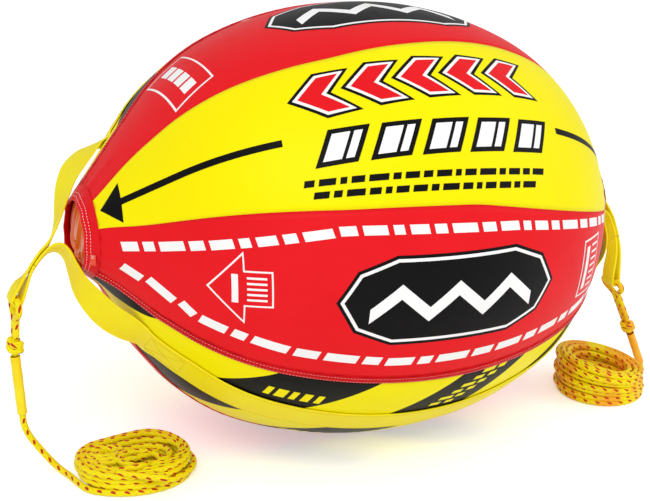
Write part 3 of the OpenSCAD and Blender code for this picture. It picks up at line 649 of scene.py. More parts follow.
def eased(edge, x):
    fine = np.linspace(-0.60, 0.60, 1201)
    rough_line = np.interp(fine, edge[:, 0], edge[:, 1])
    wide = np.hanning(91)
    line = np.convolve(np.pad(rough_line, 45, mode="edge"), wide / wide.sum(), "valid")
    return np.interp(x, fine, line)


def tuck(x, metres):
    return np.degrees(np.arcsin(np.minimum(0.9, metres / girth(x))))


def declare_cloth(grids):
    """The cloth in a panel's grids, added up; the sum is not kept or given back"""
    area = sum(float(np.linalg.norm(np.cross(g[1:, 1:] - g[:-1, :-1], g[1:, :-1] - g[:-1, 1:]), axis=-1).sum() / 2)
               for g in grids)


def main_panel(name, turn, stands_for):
    s = np.linspace(-meridian_of(collar_x) - 0.004, meridian_of(collar_x) + 0.004, 190)
    x = station_of(s)
    edges = [seam_angles[0] + tuck(x, 0.004), eased(yellow_low, x), eased(yellow_high, x),
             seam_angles[1] - tuck(x, 0.004)]
    counts = [26, 30, 24]
    columns = [edges[k][:, None] + (edges[k + 1] - edges[k])[:, None] * np.linspace(0, 1, counts[k] + 1)[None, :]
               for k in range(3)]
    skins, grids = [], []
    for k, angles in enumerate(columns):
        grid = on_ball(x[:, None], angles + turn)
        grids.append(grid)
        marks = np.stack([np.broadcast_to(s[:, None], angles.shape),
                          girth(x)[:, None] * np.radians(angles - panel_lift)], -1)
        skins.append(skin(grid, marks, slot=1 if k == 1 else 0))
    panel = make(name, skins, [cover_red, cover_yellow], "ball", [stands_for])
    thick = panel.modifiers.new("cloth", "SOLIDIFY")
    thick.thickness, thick.offset = 0.0012, -1
    declare_cloth(grids)
    return panel


near_panel = main_panel("near_main_panel", 0, "main_panel_near")
far_panel = main_panel("far_main_panel", 180, "main_panel_far")

# ---- The prints on the main panels ----
# Screen-printed marks, plain shapes only: a row of outlined chevrons, one of split
# blocks, dash rows, lozenges with a wave in them, arrows and boxes with bars.
print_black = cover_finish("print_black", "#0B0A0B", "#151314", 0.4)
print_white = cover_finish("print_white", "#FFFFFF", "#F4F1EE", 0.42)
print_red = cover_finish("print_red", "#ED1C24", "#E3141D", 0.38)
print_yellow = cover_finish("print_yellow", "#FFF200", "#FFEB00", 0.38)
inks = {"black": 0, "white": 1, "red": 2, "yellow": 3}


def printed(shape, ink, layer, place):
    """shape: corners in metres; place: (station, angle, lean) where its middle is laid"""
    station, angle, lean = place
    s0 = float(meridian_of(station))
    cloth = bmesh.new()
    cloth.faces.new([cloth.verts.new((a, b, 0)) for a, b in shape])
    bmesh.ops.triangulate(cloth, faces=cloth.faces[:])
    for _ in range(7):
        long_edges = [e for e in cloth.edges if e.calc_length() > 0.017]
        if not long_edges:
            break
        bmesh.ops.subdivide_edges(cloth, edges=long_edges, cuts=1, use_grid_fill=False)
        bmesh.ops.triangulate(cloth, faces=[f for f in cloth.faces if len(f.verts) > 3])
    flat = np.array([v.co[:2] for v in cloth.verts])
    cloth.verts.index_update()
    faces = [[v.index for v in f.verts] for f in cloth.faces]
    cloth.free()
    c, n = math.cos(math.radians(lean)), math.sin(math.radians(lean))
    s = s0 + flat[:, 0] * c - flat[:, 1] * n
    x = station_of(s)
    angles = angle + np.degrees((flat[:, 0] * n + flat[:, 1] * c) / girth(x))
    points = on_ball(x, angles, 0.00035 + 0.00022 * layer)
    across = (points[faces[0][1]] - points[faces[0][0]], points[faces[0][2]] - points[faces[0][0]])
    outward = points[faces[0][0]] - (points[faces[0][0]][0], 0, middle_height)
    if np.dot(np.cross(*across), outward) < 0:
        faces = [f[::-1] for f in faces]
    marks = np.column_stack([s, girth(x) * np.radians(angles - panel_lift)])
    return {"points": [tuple(p) for p in points], "faces": faces,
            "places": [marks[k] for f in faces for k in f], "slot": inks[ink]}


def grown(shape, by):
    """The same outline moved out by a distance, its corners kept sharp"""
    pts = np.array(shape, float)
    area = 0.5 * np.sum(pts[:, 0] * np.roll(pts[:, 1], -1) - np.roll(pts[:, 0], -1) * pts[:, 1])
    way = 1 if area > 0 else -1
    moved = []
    for k in range(len(pts)):
        before, here, after = pts[k - 1], pts[k], pts[(k + 1) % len(pts)]
        one, two = unit(here - before), unit(after - here)
        n1, n2 = np.array((one[1], -one[0])) * way, np.array((two[1], -two[0])) * way
        bend = n1 + n2
        moved.append(here + bend * by / max(0.35, 0.5 * bend.dot(bend)))
    return moved


def outlined(shape, ink, rim_ink, rim, place, layer=0):
    return [printed(grown(shape, rim), rim_ink, layer, place), printed(shape, ink, layer + 1, place)]


def bar(length, width, slant=0.0, at=(0, 0)):
    a, b = at
    return [(a - length / 2 - slant / 2, b - width / 2), (a + length / 2 - slant / 2, b - width / 2),
            (a + length / 2 + slant / 2, b + width / 2), (a - length / 2 + slant / 2, b + width / 2)]


chevron = [(-0.040, 0), (0.006, 0.038), (0.046, 0.038), (0.004, 0), (0.046, -0.038), (0.006, -0.038)]
arrow_head = [(-0.045, 0), (0.004, 0.040), (0.004, -0.040)]
lozenge = [(-0.215, 0), (-0.185, 0.048), (-0.120, 0.074), (0.120, 0.074), (0.185, 0.048), (0.215, 0),
           (0.185, -0.048), (0.120, -0.074), (-0.120, -0.074), (-0.185, -0.048)]
wave = [(-0.168, -0.012), (-0.112, 0.034), (-0.056, -0.012), (0, 0.034), (0.056, -0.012), (0.112, 0.034),
        (0.168, -0.012), (0.168, -0.040), (0.112, 0.006), (0.056, -0.040), (0, 0.006), (-0.056, -0.040),
        (-0.112, 0.006), (-0.168, -0.040)]
sign_arrow = [(-0.063, 0), (0.002, 0.060), (0.002, 0.030), (0.052, 0.030), (0.052, -0.030), (0.002, -0.030),
              (0.002, -0.060)]
tally_box, block_box = bar(0.070, 0.112), bar(0.085, 0.150)


def dash_row(stops, ink, height, slant, words, layer=0, turn=0):
    """A row of dashes along the ball: stops are (station, angle)"""
    stops = np.array(stops, float)
    s_stops = meridian_of(stops[:, 0])
    s, k, out = s_stops[0], 0, []
    while s < s_stops[-1] - 0.012:
        length = words[k % len(words)]
        x = station_of(s + length / 2)
        angle = np.interp(x, stops[:, 0], stops[:, 1])
        ahead = np.interp(x + 0.01, stops[:, 0], stops[:, 1])
        lean = math.degrees(math.atan2(math.radians(ahead - angle) * float(girth(x)), 0.01))
        out.append(printed(bar(length, height, slant), ink, layer, (float(x), angle + turn, lean)))
        s += length + height * 0.62
        k += 1
    return out


def panel_prints(name, turn):
    prints = []
    for n, station in enumerate((-0.215, -0.118, -0.021, 0.076, 0.173)):
        place = (station, 49.0 + 0.6 * n + turn, 0)
        prints += [printed(grown(chevron, 0.012), "black", 0, place), printed(grown(chevron, 0.006), "white", 1, place),
                   printed(chevron, "red", 2, place)]
    for n in range(5):
        place = (-0.200 + 0.096 * n, 34.2 - 0.2 * n + turn, 0)
        prints += outlined(bar(0.056, 0.048, 0.026), "white", "black", 0.009, place)
        prints += [printed(bar(0.007, 0.050, 0.027, (0.009, 0)), "black", 2, place)]
    prints += dash_row([(-0.275, 25.8), (0.21, 23.8)], "black", 0.012, 0.003,
                       (0.018, 0.030, 0.012, 0.024, 0.036, 0.015, 0.027), 0, turn)
    prints += dash_row([(-0.262, 22.6), (0.19, 20.6)], "black", 0.012, 0.003,
                       (0.027, 0.015, 0.033, 0.021, 0.012, 0.024), 0, turn)
    prints += dash_row([(-0.535, 9.9), (-0.209, 13.2), (0.12, 11.0), (0.52, 5.6)], "white", 0.017, -0.004,
                       (0.036, 0.024, 0.052, 0.030, 0.044, 0.020), 0, turn)
    prints += dash_row([(-0.535, -6.0), (-0.43, -17.6), (-0.28, -20.4), (-0.1, -21.6), (0.113, -21.4), (0.42, -20.6)],
                       "white", 0.018, 0.005, (0.044, 0.060, 0.032, 0.052, 0.026, 0.066), 0, turn)
    for station, angle, lean in ((-0.530, 41.4, -4.0), (0.500, 32.6, 180 - 4.0)):
        shaft = 0.330 if station < 0 else 0.318
        place = (station, angle + turn, lean)
        prints += [printed(bar(shaft, 0.013, 0.0, (shaft / 2, 0)), "black", 0, place),
                   printed(arrow_head, "black", 0, place)]
    for angle in (-4.9, 82.8):
        place = (-0.006, angle + turn, 0)
        prints += [printed(grown(lozenge, 0.012), "black", 0, place), printed(grown(lozenge, 0.006), "white", 1, place),
                   printed(lozenge, "black", 2, place), printed(wave, "white", 3, place)]
    place = (-0.376, -2.6 + turn, 3)
    prints += outlined(sign_arrow, "red", "white", 0.0032, place)
    prints += [printed(bar(0.012, 0.052, 0.0, (-0.014, 0)), "white", 2, place)]
    prints += [printed(bar(0.036, 0.0040, 0.0, (0.026, b)), "white", 2, place)
               for b in (-0.020, -0.010, 0, 0.010, 0.020)]
    place = (0.352, -7.0 + turn, -2)
    prints += outlined(tally_box, "red", "white", 0.004, place)
    prints += [printed(bar(0.014, 0.090, 0.0, (-0.018, 0)), "white", 2, place)]
    prints += [printed(bar(0.028, 0.0045, 0.0, (0.014, b)), "white", 2, place) for b in np.linspace(-0.043, 0.043, 7)]
    place = (-0.395, 83.0 + turn, 3)
    prints += outlined(block_box, "red", "white", 0.004, place)
    prints += [printed(bar(0.030, 0.026, 0.0, (0, b)), "white", 2, place) for b in (-0.048, -0.016, 0.016, 0.048)]
    return make(name, prints, [print_black, print_white, print_red, print_yellow], "ball")


near_prints = panel_prints("near_panel_prints", 0)
far_prints = panel_prints("far_panel_prints", 180)

# ---- The hazard panels ----
# Two narrower gores in black and yellow slanting bars, one underneath and one on
# top, each with the webbing strap sewn along its middle. The bars are printed on
# the cloth: the distance from bar to bar, their slant, and where the first starts.
bar_step, bar_slant, bar_start = 0.335, 1.1, 1.815
hazard_cloth, bench, shader, place, scuff = coated_cloth("hazard_cloth", 0.42, 0.40)
apart = bench.put("ShaderNodeSeparateXYZ", {0: place}).outputs
slanted = bench.sum("MULTIPLY_ADD", apart[1], -bar_slant, apart[0])
step = bench.sum("FRACT", bench.sum("DIVIDE", bench.sum("ADD", slanted, bar_start), bar_step))
is_black = bench.sum("MULTIPLY", bench.spread(step, -0.0015, 0.0015), bench.spread(step, 0.5000, 0.4970))
tone = bench.sum("MULTIPLY", scuff, 0.4)
colour = bench.blend(is_black, bench.blend(tone, dye("#FFF200"), dye("#FFE700")),
                     bench.blend(tone, dye("#0A0909"), dye("#1B1918")))
bench.tie(colour, shader.inputs["Base Color"])


def hazard_panel(name, turn, stands_for):
    s = np.linspace(-meridian_of(collar_x) - 0.004, meridian_of(collar_x) + 0.004, 190)
    x = station_of(s)
    half = 90 - main_angle / 2
    low = hazard_middle - half + tuck(x, 0.004)
    high = hazard_middle + half - tuck(x, 0.004)
    angles = low[:, None] + (high - low)[:, None] * np.linspace(0, 1, 41)[None, :]
    grid = on_ball(x[:, None], angles + turn)
    marks = np.stack([np.broadcast_to(s[:, None], angles.shape),
                      girth(x)[:, None] * np.radians(angles - hazard_middle)], -1)
    panel = make(name, [skin(grid, marks)], [hazard_cloth], "ball", [stands_for])
    thick = panel.modifiers.new("cloth", "SOLIDIFY")
    thick.thickness, thick.offset = 0.0012, -1
    declare_cloth([grid])
    return panel


lower_hazard = hazard_panel("lower_hazard_panel", 0, "hazard_panel_lower")
upper_hazard = hazard_panel("upper_hazard_panel", 180, "hazard_panel_upper")


# Short yellow dashes on the black bars, along the ball on one and down the slant
# on the next, in the same yellow as the cloth
def hazard_prints(name, turn):
    prints = []
    for side, first in ((1, 4), (-1, 5)):
        for n in range(6):
            off = 0.085 + 0.017 * n
            middle = (first + 1.25) * bar_step - bar_start + bar_slant * side * off
            for wide, shift in ((0.018, 0.016), (0.030 if n % 2 else 0.022, -0.016)):
                angle = hazard_middle + side * math.degrees(off / ball_radius) + turn
                place = (float(station_of(middle + shift)), angle, 0)
                prints.append(printed(bar(wide, 0.010, 0.004), "yellow", 0, place))
        middle = (first + 0.25) * bar_step - bar_start + bar_slant * side * 0.110
        for n, wide in enumerate((0.012, 0.020, 0.012, 0.016, 0.012)):
            place = (float(station_of(middle + 0.024 * (n - 2))), hazard_middle + side * 14.3 + turn, 0)
            prints.append(printed(bar(wide, 0.026, 0.006), "yellow", 0, place))
    return make(name, prints, [print_black, print_white, print_red, print_yellow], "ball")


lower_hazard_prints = hazard_prints("lower_hazard_prints", 0)
upper_hazard_prints = hazard_prints("upper_hazard_prints", 180)

# ---- The bound seams ----
# The panels' edges are turned in and covered with a folded strip of red cloth,
# held down by two rows of white thread. The thread gathers the strip slightly.
seam_cloth = cover_finish("seam_cloth", "#D4141C", "#B80F16", 0.45)


def thread_finish(name, colours, rough, scale):
    return cloudy_finish(name, colours, rough, (scale, 2.0), (900.0, 2.0, 0.4, 0.0002), gloss=0.3)


white_thread = thread_finish("white_thread", ("#FFFFFF", "#F2E4DC"), 0.55, 300.0)


# A row of thread stitches along a path: each a little lozenge sunk at its ends
def stitches(path, outward, length=0.0046, gap=0.0016, wide=0.0011, slot=0, sink=0.0003):
    path = np.array(path)
    outward = np.array(outward)
    gone = np.r_[0, np.cumsum(np.linalg.norm(np.diff(path, axis=0), axis=1))]
    points, faces = [], []
    starts = np.arange(gap / 2, gone[-1] - length, length + gap)
    for start in starts:
        ends = [np.array([np.interp(d, gone, path[:, k]) for k in range(3)]) for d in (start, start + length)]
        n = unit([np.interp(start + length / 2, gone, outward[:, k]) for k in range(3)])
        ahead = ends[1] - ends[0]
        side = unit(np.cross(n, ahead)) * wide / 2
        middle = (ends[0] + ends[1]) / 2
        base = len(points)
        points += [ends[0] - n * sink, middle - ahead * 0.22 + side, middle - ahead * 0.22 + n * wide * 0.55,
                   middle - ahead * 0.22 - side, middle + ahead * 0.22 + side, middle + ahead * 0.22 + n * wide * 0.55,
                   middle + ahead * 0.22 - side, ends[1] - n * sink]
        faces += [[base + k for k in face] for face in
                  ((0, 2, 1), (0, 3, 2), (1, 2, 5, 4), (2, 3, 6, 5), (4, 5, 7), (5, 6, 7))]
    return {"points": [tuple(p) for p in points], "faces": faces,
            "places": [(0.001 * k, 0.0) for face in faces for k in range(len(face))], "slot": slot}


def bound_seam(name, angle, stands_for):
    s = np.linspace(-meridian_of(collar_x) - 0.002, meridian_of(collar_x) + 0.002, 300)
    x = station_of(s)
    across = np.array([-1, -0.97, -0.86, -0.7, -0.62, -0.54, -0.25, 0, 0.25, 0.54, 0.62, 0.7, 0.86, 0.97, 1])
    proud = np.array([-0.0012, 0.0002, 0.0011, 0.0016, 0.0011, 0.0016, 0.0019, 0.002, 0.0019, 0.0016, 0.0011, 0.0016,
                      0.0011, 0.0002, -0.0012])
    gathered = 1 - 0.10 * (0.5 + 0.5 * np.sin(2 * np.pi * s / 0.019 + 2 * np.sin(31 * s)))
    r = girth(x)[:, None] + np.where(proud[None, :] > 0, proud[None, :] * gathered[:, None], proud[None, :])
    r = r * pulled_up(x, angle)[:, None]
    off = across[None, :] * seam_width / 2
    up, out = math.radians(angle), np.sqrt(np.maximum(r * r - off * off, 1e-9))
    y = -out * math.cos(up) + off * math.sin(up)
    z = middle_height + out * math.sin(up) + off * math.cos(up)
    grid = np.stack([np.broadcast_to(x[:, None], y.shape), y, np.maximum(z, 0.0006)], -1)
    marks = np.stack([np.broadcast_to(s[:, None], y.shape), np.broadcast_to(off, y.shape)], -1)
    outward = np.column_stack([np.zeros(300), np.full(300, -math.cos(up)), np.full(300, math.sin(up))])
    rows = [stitches(grid[:, k], outward, slot=1) for k in (4, 10)]
    return make(name, [skin(grid, marks, flip=False)] + rows, [seam_cloth, white_thread], "ball", [stands_for])


seams = [bound_seam(name, angle, node) for name, angle, node in (
    ("near_lower_seam", seam_angles[0], "seam_near_lower"), ("near_upper_seam", seam_angles[1], "seam_near_upper"),
    ("far_upper_seam", seam_angles[3], "seam_far_upper"), ("far_lower_seam", seam_angles[2], "seam_far_lower"))]

# ---- The webbing straps ----
# 75 mm polyester webbing, one length under the ball and one over it, sewn along
# the hazard panels. Past the openings the ends are folded to half their width.
strap_width, strap_thick, strap_clear = 0.075, 0.003, 0.0007
eye_width, eye_thick = 0.038, 0.005
sewn_to = opening_x - 0.097
fold_from, fold_to = opening_x - 0.045, opening_x + 0.060
rim = np.array((opening_x, opening_radius + 0.012))
lower_front_leg = [(-0.062, 0.084), (-0.040, 0.065), (-0.018, 0.036), (0.002, 0.000), (0.011, -0.036), (0.017, -0.065),
                   (0.028, -0.081), (0.045, -0.081), (0.065, -0.066), (0.084, -0.044)]
upper_front_leg = [(-0.070, 0.104), (-0.046, 0.084), (-0.025, 0.061), (-0.005, 0.028), (0.009, -0.008), (0.021, -0.042),
                   (0.034, -0.071), (0.050, -0.095), (0.071, -0.115), (0.089, -0.137)]
lower_rear_leg = [(-0.055, 0.090), (-0.020, 0.060), (0.004, 0.022), (0.012, -0.014), (0.020, -0.037),
                  (0.030, -0.042), (0.037, -0.030), (0.038, -0.006), (0.036, 0.020)]
upper_rear_leg = [(-0.055, 0.106), (-0.018, 0.074), (0.009, 0.020), (0.022, -0.040), (0.033, -0.095),
                  (0.042, -0.128), (0.047, -0.153), (0.046, -0.178), (0.043, -0.204)]


def gentle(t):
    t = np.clip(t, 0, 1)
    return t * t * (3 - 2 * t)


def strap_height(x):
    return girth(x, strap_clear + strap_thick / 2)


def leg_line(leg):
    lead = [(x, float(strap_height(x)), 0) for x in (sewn_to - 0.028, sewn_to)]
    line = curve_through(lead + [(rim[0] + p[0], rim[1] + p[1], 0) for p in leg], 10)
    return evenly(line[10:], 0.0045)[:, :2]


def strap_side(angle):
    turn = math.radians(angle)
    return np.array((0, math.sin(turn), math.cos(turn)))


def to_side(p, angle):
    turn = math.radians(angle)
    return np.array((p[0], -math.cos(turn) * p[1], math.sin(turn) * p[1]))


# The woven herringbone of the webbing, with plain bound edges
herringbone, bench, taken, given = new_group(
    "herringbone", [("NodeSocketVector", "Place"), ("NodeSocketFloat", "Rib"), ("NodeSocketFloat", "Row")],
    [("NodeSocketFloat", "Relief"), ("NodeSocketFloat", "Dust")])
apart = bench.put("ShaderNodeSeparateXYZ", {0: taken["Place"]}).outputs
zigzag = bench.sum("PINGPONG", apart[1], taken["Row"])
ribs = bench.sum("DIVIDE", bench.sum("ADD", apart[0], zigzag), taken["Rib"])
rib = bench.sum("SINE", bench.sum("MULTIPLY", ribs, 2 * math.pi))
across_rows = bench.sum("DIVIDE", apart[1], taken["Row"])
row = bench.sum("ABSOLUTE", bench.sum("SINE", bench.sum("MULTIPLY", across_rows, math.pi)))
bench.tie(bench.sum("MULTIPLY_ADD", bench.sum("POWER", row, 0.35), 0.8, bench.sum("MULTIPLY", rib, 0.35)),
                     given["Relief"])
bench.tie(bench.spread(bench.noise(taken["Place"], 40.0, 4.0, 0.6), 0.5, 0.85), given["Dust"])


def webbing_finish(name, colour, dull, dust):
    finish, bench, shader = new_finish(name, rough=0.5, gloss=0.25)
    place = bench.put("ShaderNodeUVMap", uv_map="cut").outputs[0]
    weave = bench.put("ShaderNodeGroup", {"Place": place, "Rib": 0.0016, "Row": 0.0040}, node_tree=herringbone)
    tone = bench.spread(bench.noise(place, 12.0, 2.0), 0.3, 0.75)
    base = bench.blend(bench.sum("MULTIPLY", tone, 0.5), dye(colour), dye(dull))
    base = bench.blend(bench.sum("MULTIPLY", weave.outputs["Dust"], 0.22), base, dye(dust))
    bench.tie(base, shader.inputs["Base Color"])
    bench.tie(bench.spread(weave.outputs["Relief"], 0.0, 1.0, 0.6, 0.44), shader.inputs["Roughness"])
    bump = bench.put("ShaderNodeBump", {"Height": weave.outputs["Relief"], "Strength": 0.45, "Distance": 0.0004})
    bench.tie(bump.outputs[0], shader.inputs["Normal"])
    return finish


yellow_webbing = webbing_finish("yellow_webbing", "#FFF000", "#FFE200", "#EBD15A")
yellow_thread = thread_finish("yellow_thread", ("#F6D800", "#DDB900"), 0.5, 260.0)


# A flat woven band with soft edges: half widths, thicknesses, bend over the ball
# and how deep the groove is where its two folded edges meet
def webbing(path, across, normals, half, thick, bow, groove):
    outline = [(-1, 0.18), (-0.985, 0.38), (-0.955, 0.5)] + [(u, 0.5) for u in np.linspace(-0.9, 0.9, 25)] + [
        (0.955, 0.5), (0.985, 0.38), (1, 0.18)]
    section = np.array(outline + [(u, -v) for u, v in outline[::-1]])
    u, v = section[:, 0], section[:, 1]
    reach = u[None, :] * half[:, None]
    slot = np.exp(-(reach / 0.0012) ** 2) * groove[:, None] * (v > 0.3)[None, :]
    lift = v[None, :] * thick[:, None] - bow[:, None] * reach ** 2 - slot
    grid = path[:, None] + across[:, None] * reach[..., None] + normals[:, None] * lift[..., None]
    gone = np.r_[0, np.cumsum(np.linalg.norm(np.diff(path, axis=0), axis=1))]
    marks_v = np.concatenate([reach, reach[:, :1]], axis=1)
    marks = np.stack([np.broadcast_to(gone[:, None], marks_v.shape), marks_v], -1)
    return skin(grid, marks, wraps=True, caps=True, flip=True)


def strap_piece(name, angle, swing, front_leg, rear_leg, lean_at, stands_for):
    sewn = np.linspace(-sewn_to, sewn_to, 240)[1:-1]
    front, rear = leg_line(front_leg), leg_line(rear_leg)
    flat = np.vstack([(front * (-1, 1))[::-1], np.column_stack([sewn, strap_height(sewn)]), rear])
    angles = angle + swing * gentle((sewn_to - np.abs(flat[:, 0])) / 0.070)
    path = np.array([to_side(p, a) for p, a in zip(flat, angles)]) + (0, 0, middle_height)
    ahead = np.gradient(flat, axis=0)
    ahead /= np.linalg.norm(ahead, axis=1)[:, None]
    across = np.array([strap_side(a) for a in angles])
    normals = np.array([to_side((-t[1], t[0]), a) for t, a in zip(ahead, angles)])
    gone = np.r_[0, np.cumsum(np.linalg.norm(np.diff(path, axis=0), axis=1))]
    ends = (gone[len(front) - 1], gone[-1] - gone[len(front) + len(sewn)])
    share = np.where(flat[:, 0] < 0, 1 - gone / ends[0], 1 - (gone[-1] - gone) / ends[1])
    lean = np.interp(share, lean_at[0], lean_at[1])
    lean = np.convolve(np.pad(lean, 6, mode="edge"), np.hanning(15)[1:-1] / np.hanning(15).sum(), "valid")
    lean = np.radians(np.where((flat[:, 0] < 0) & (share > 0), lean, 0))[:, None]
    across, normals = (across * np.cos(lean) + normals * np.sin(lean), normals * np.cos(lean) - across * np.sin(lean))
    folded = gentle((np.abs(flat[:, 0]) - fold_from) / (fold_to - fold_from))
    past = np.clip((np.abs(flat[:, 0]) - sewn_to) / 0.04, 0, 1)
    bow = np.abs(ahead[:, 0]) / (2 * strap_height(np.minimum(np.abs(flat[:, 0]), sewn_to))) * (1 - gentle(past))
    half = (strap_width + (eye_width - strap_width) * folded) / 2
    band = webbing(path, across, normals, half, strap_thick + (eye_thick - strap_thick) * folded, bow, 0.0016 * folded)
    on_cloth = (np.abs(flat[:, 0]) < sewn_to - 0.004)
    rows = []
    for off in (-0.0325, 0.0325):
        line = path + across * off + normals * (strap_thick / 2 + 0.0001 - bow * off ** 2)[:, None]
        rows.append(stitches(line[on_cloth], normals[on_cloth], 0.0044, 0.0022, 0.0013, 1))
    for end in (-1, 1):
        at = [end * (sewn_to - d) for d in (0.006, 0.052)]
        picked = [int(np.argmin(np.abs(flat[:, 0] - a))) for a in at]
        corners = [(picked[k], off) for k, off in ((0, -0.027), (0, 0.027), (1, 0.027), (1, -0.027))]

        def run(start, stop):
            pts, outs = [], []
            for t in np.linspace(0, 1, 12):
                i = start[0] + (stop[0] - start[0]) * t
                off = start[1] + (stop[1] - start[1]) * t
                lo = int(math.floor(i)); hi = min(lo + 1, len(path) - 1); f = i - lo
                mid = path[lo] * (1 - f) + path[hi] * f
                n = normals[lo]
                pts.append(mid + across[lo] * off + n * (strap_thick / 2 + 0.0002 - bow[lo] * off ** 2))
                outs.append(n)
            return stitches(pts, outs, 0.0042, 0.0014, 0.0014, 1)

        for a, b in ((0, 1), (1, 2), (2, 3), (3, 0), (0, 2), (1, 3)):
            rows.append(run(corners[a], corners[b]))
    return make(name, [band] + rows, [yellow_webbing, yellow_thread], "ball", [stands_for])


# How far each front leg is twisted out of its own plane, along its free length
lower_lean = ((0, 0.14, 0.23, 0.35, 0.48, 0.60, 0.70, 0.82, 1), (0, -18, -18, -22, -18, -7, 0, 4, 0))
upper_lean = ((0, 0.09, 0.19, 0.28, 0.40, 0.52, 0.64, 0.73, 1), (0, 24, 32, 35, 28, 19, 6, 0, 0))
lower_strap = strap_piece("lower_strap", hazard_middle, 4, lower_front_leg, lower_rear_leg, lower_lean, "strap_lower")
upper_strap = strap_piece("upper_strap", hazard_middle + 180, 3, upper_front_leg, upper_rear_leg, upper_lean,
                          "strap_upper")

# ---- The tow eyes ----
# The folded ends of both straps run on together, go round the rope's bight and
# back, and are sewn to each other, so each end has one closed webbing eye.
eye_reach = rope_thick / 2 + 0.0004 + eye_thick / 2


def bent(a, b, c, d, t):
    return a * (1 - t) ** 3 + 3 * b * t * (1 - t) ** 2 + 3 * c * t * t * (1 - t) + d * t ** 3


def neck_of(leg, end, angle):
    last, before = [(rim[0] + p[0], rim[1] + p[1]) for p in (leg[-1], leg[-2])]
    here = to_side((end * last[0], last[1]), angle) + (0, 0, middle_height)
    there = to_side((end * before[0], before[1]), angle) + (0, 0, middle_height)
    return here, unit(here - there)


def tow_eye(name, end, lower_leg, upper_leg, eye_at, pull, stands_for):
    low, low_ahead = neck_of(lower_leg, end, hazard_middle)
    high, high_ahead = neck_of(upper_leg, end, hazard_middle + 180)
    start, apart_by = (low + high) / 2, np.linalg.norm(low - high) / 2
    out, length = unit(low_ahead + high_ahead), np.linalg.norm(eye_at - (low + high) / 2)
    t = np.linspace(0, 1, 33)
    line = np.array([bent(start, start + out * length / 3, eye_at - pull * length / 3, eye_at, k) for k in t])
    ahead = np.gradient(line, axis=0)
    ahead /= np.linalg.norm(ahead, axis=1)[:, None]
    turn = gentle(np.minimum(1, 1.3 * t))[:, None]
    widths = strap_side(hazard_middle) * (1 - turn) + np.array((0, -1.0, 0)) * turn
    widths /= np.linalg.norm(widths, axis=1)[:, None]
    sides = -end * np.cross(widths, ahead)
    sides /= np.linalg.norm(sides, axis=1)[:, None]
    spread = (apart_by + (eye_reach - apart_by) * gentle(t))[:, None]
    tip, down = sides[-1], unit((pull[0], 0, pull[2]))
    rounds = np.array([tip * math.cos(a) + down * math.sin(a) for a in np.radians(np.linspace(10, 170, 17))])
    path = np.vstack([line + sides * spread, eye_at + rounds * eye_reach, (line - sides * spread)[::-1]])
    normals = np.vstack([sides, rounds, -sides[::-1]])
    across = end * np.vstack([widths, np.repeat(widths[-1:], 17, axis=0), widths[::-1]])
    n = len(path)
    pinch = 1 - 0.10 * np.exp(-((np.arange(n) - n / 2) / 9.0) ** 2)
    band = webbing(path, across, normals, np.full(n, eye_width / 2) * pinch, np.full(n, eye_thick), np.zeros(n),
                         np.full(n, 0.0016))
    rows = []
    for first in (4, n - 20):
        for off in (-0.014, -0.005, 0.005, 0.014):
            part = slice(first, first + 16)
            line_at = path[part] + across[part] * off + normals[part] * (eye_thick / 2 + 0.0001)
            rows.append(stitches(line_at, normals[part], 0.0042, 0.0014, 0.0014, 1))
    return make(name, [band] + rows, [yellow_webbing, yellow_thread], "ball", [stands_for])


front_tow_eye = tow_eye("front_tow_eye", -1, lower_front_leg, upper_front_leg, front_eye, unit((-0.45, -0.35, -0.82)),
                        "tow_eye_front")
rear_tow_eye = tow_eye("rear_tow_eye", 1, lower_rear_leg, upper_rear_leg, rear_eye, unit((0.05, -0.1, -0.99)),
                       "tow_eye_rear")

# ---- The collars ----
# The four panels run into a hemmed neck of doubled red cloth round each opening.
# It is turned in at the lip and sewn round with white thread, and puckers freely.
collar_cloth = cover_finish("collar_cloth", "#E91A22", "#D5131B", 0.4)


def collar(name, end, stands_for):
    turn = np.linspace(0, 2 * np.pi, 181)[:-1]
    slope = np.array((math.sin(cone_slope), math.cos(cone_slope)))
    outline = [(0.0, 0.0012), (0.003, 0.0016), (0.006, 0.0015), (0.009, 0.0013), (0.012, 0.0010), (0.015, 0.0014),
               (0.017, 0.0012), (0.0185, 0.0016), (0.0198, 0.0012), (0.0204, 0.0), (0.0202, -0.0016), (0.0188, -0.0027),
               (0.016, -0.0029), (0.012, -0.0028), (0.008, -0.0029), (0.003, -0.0029), (-0.002, -0.0030)]
    rings = []
    for ahead, off in outline:
        x = collar_x + ahead
        share = gentle(np.clip(ahead / 0.02, 0, 1))
        ruck = 0.0013 * np.sin(turn * 24 + 1.5 * np.sin(3 * turn)) + 0.0010 * np.sin(turn * 9 + 2)
        ruck = ruck * (0.35 + 0.65 * share)
        lip = (0.0014 * np.sin(2 * turn + 0.8) + 0.0009 * np.sin(5 * turn + 2.1) + 0.0006 * np.sin(11 * turn)) * share
        r = (float(girth(x, off)) - 0.0011 - ruck * 0.6) * pulled_up(end * x, np.degrees(turn))
        rings.append(np.column_stack([end * (x + lip - 0.0008), -r * np.cos(turn), middle_height + r * np.sin(turn)]))
    grid = np.array(rings)
    wide = np.array([p[0] for p in outline])
    marks = np.stack(np.meshgrid(wide, np.linspace(0, 2 * np.pi, 181) * 0.1, indexing="ij"), -1)
    outward = np.column_stack([np.full(180, end * slope[0] * 0.6), -np.cos(turn), np.sin(turn)])
    rows = [stitches(np.vstack([grid[k], grid[k][:1]]), np.vstack([outward, outward[:1]]), slot=1) for k in (4, 6)]
    return make(name, [skin(grid, marks, wraps=True, flip=end > 0)] + rows, [collar_cloth, white_thread], "ball",
                [stands_for])


front_collar = collar("front_collar", -1, "collar_front")
rear_collar = collar("rear_collar", 1, "collar_rear")

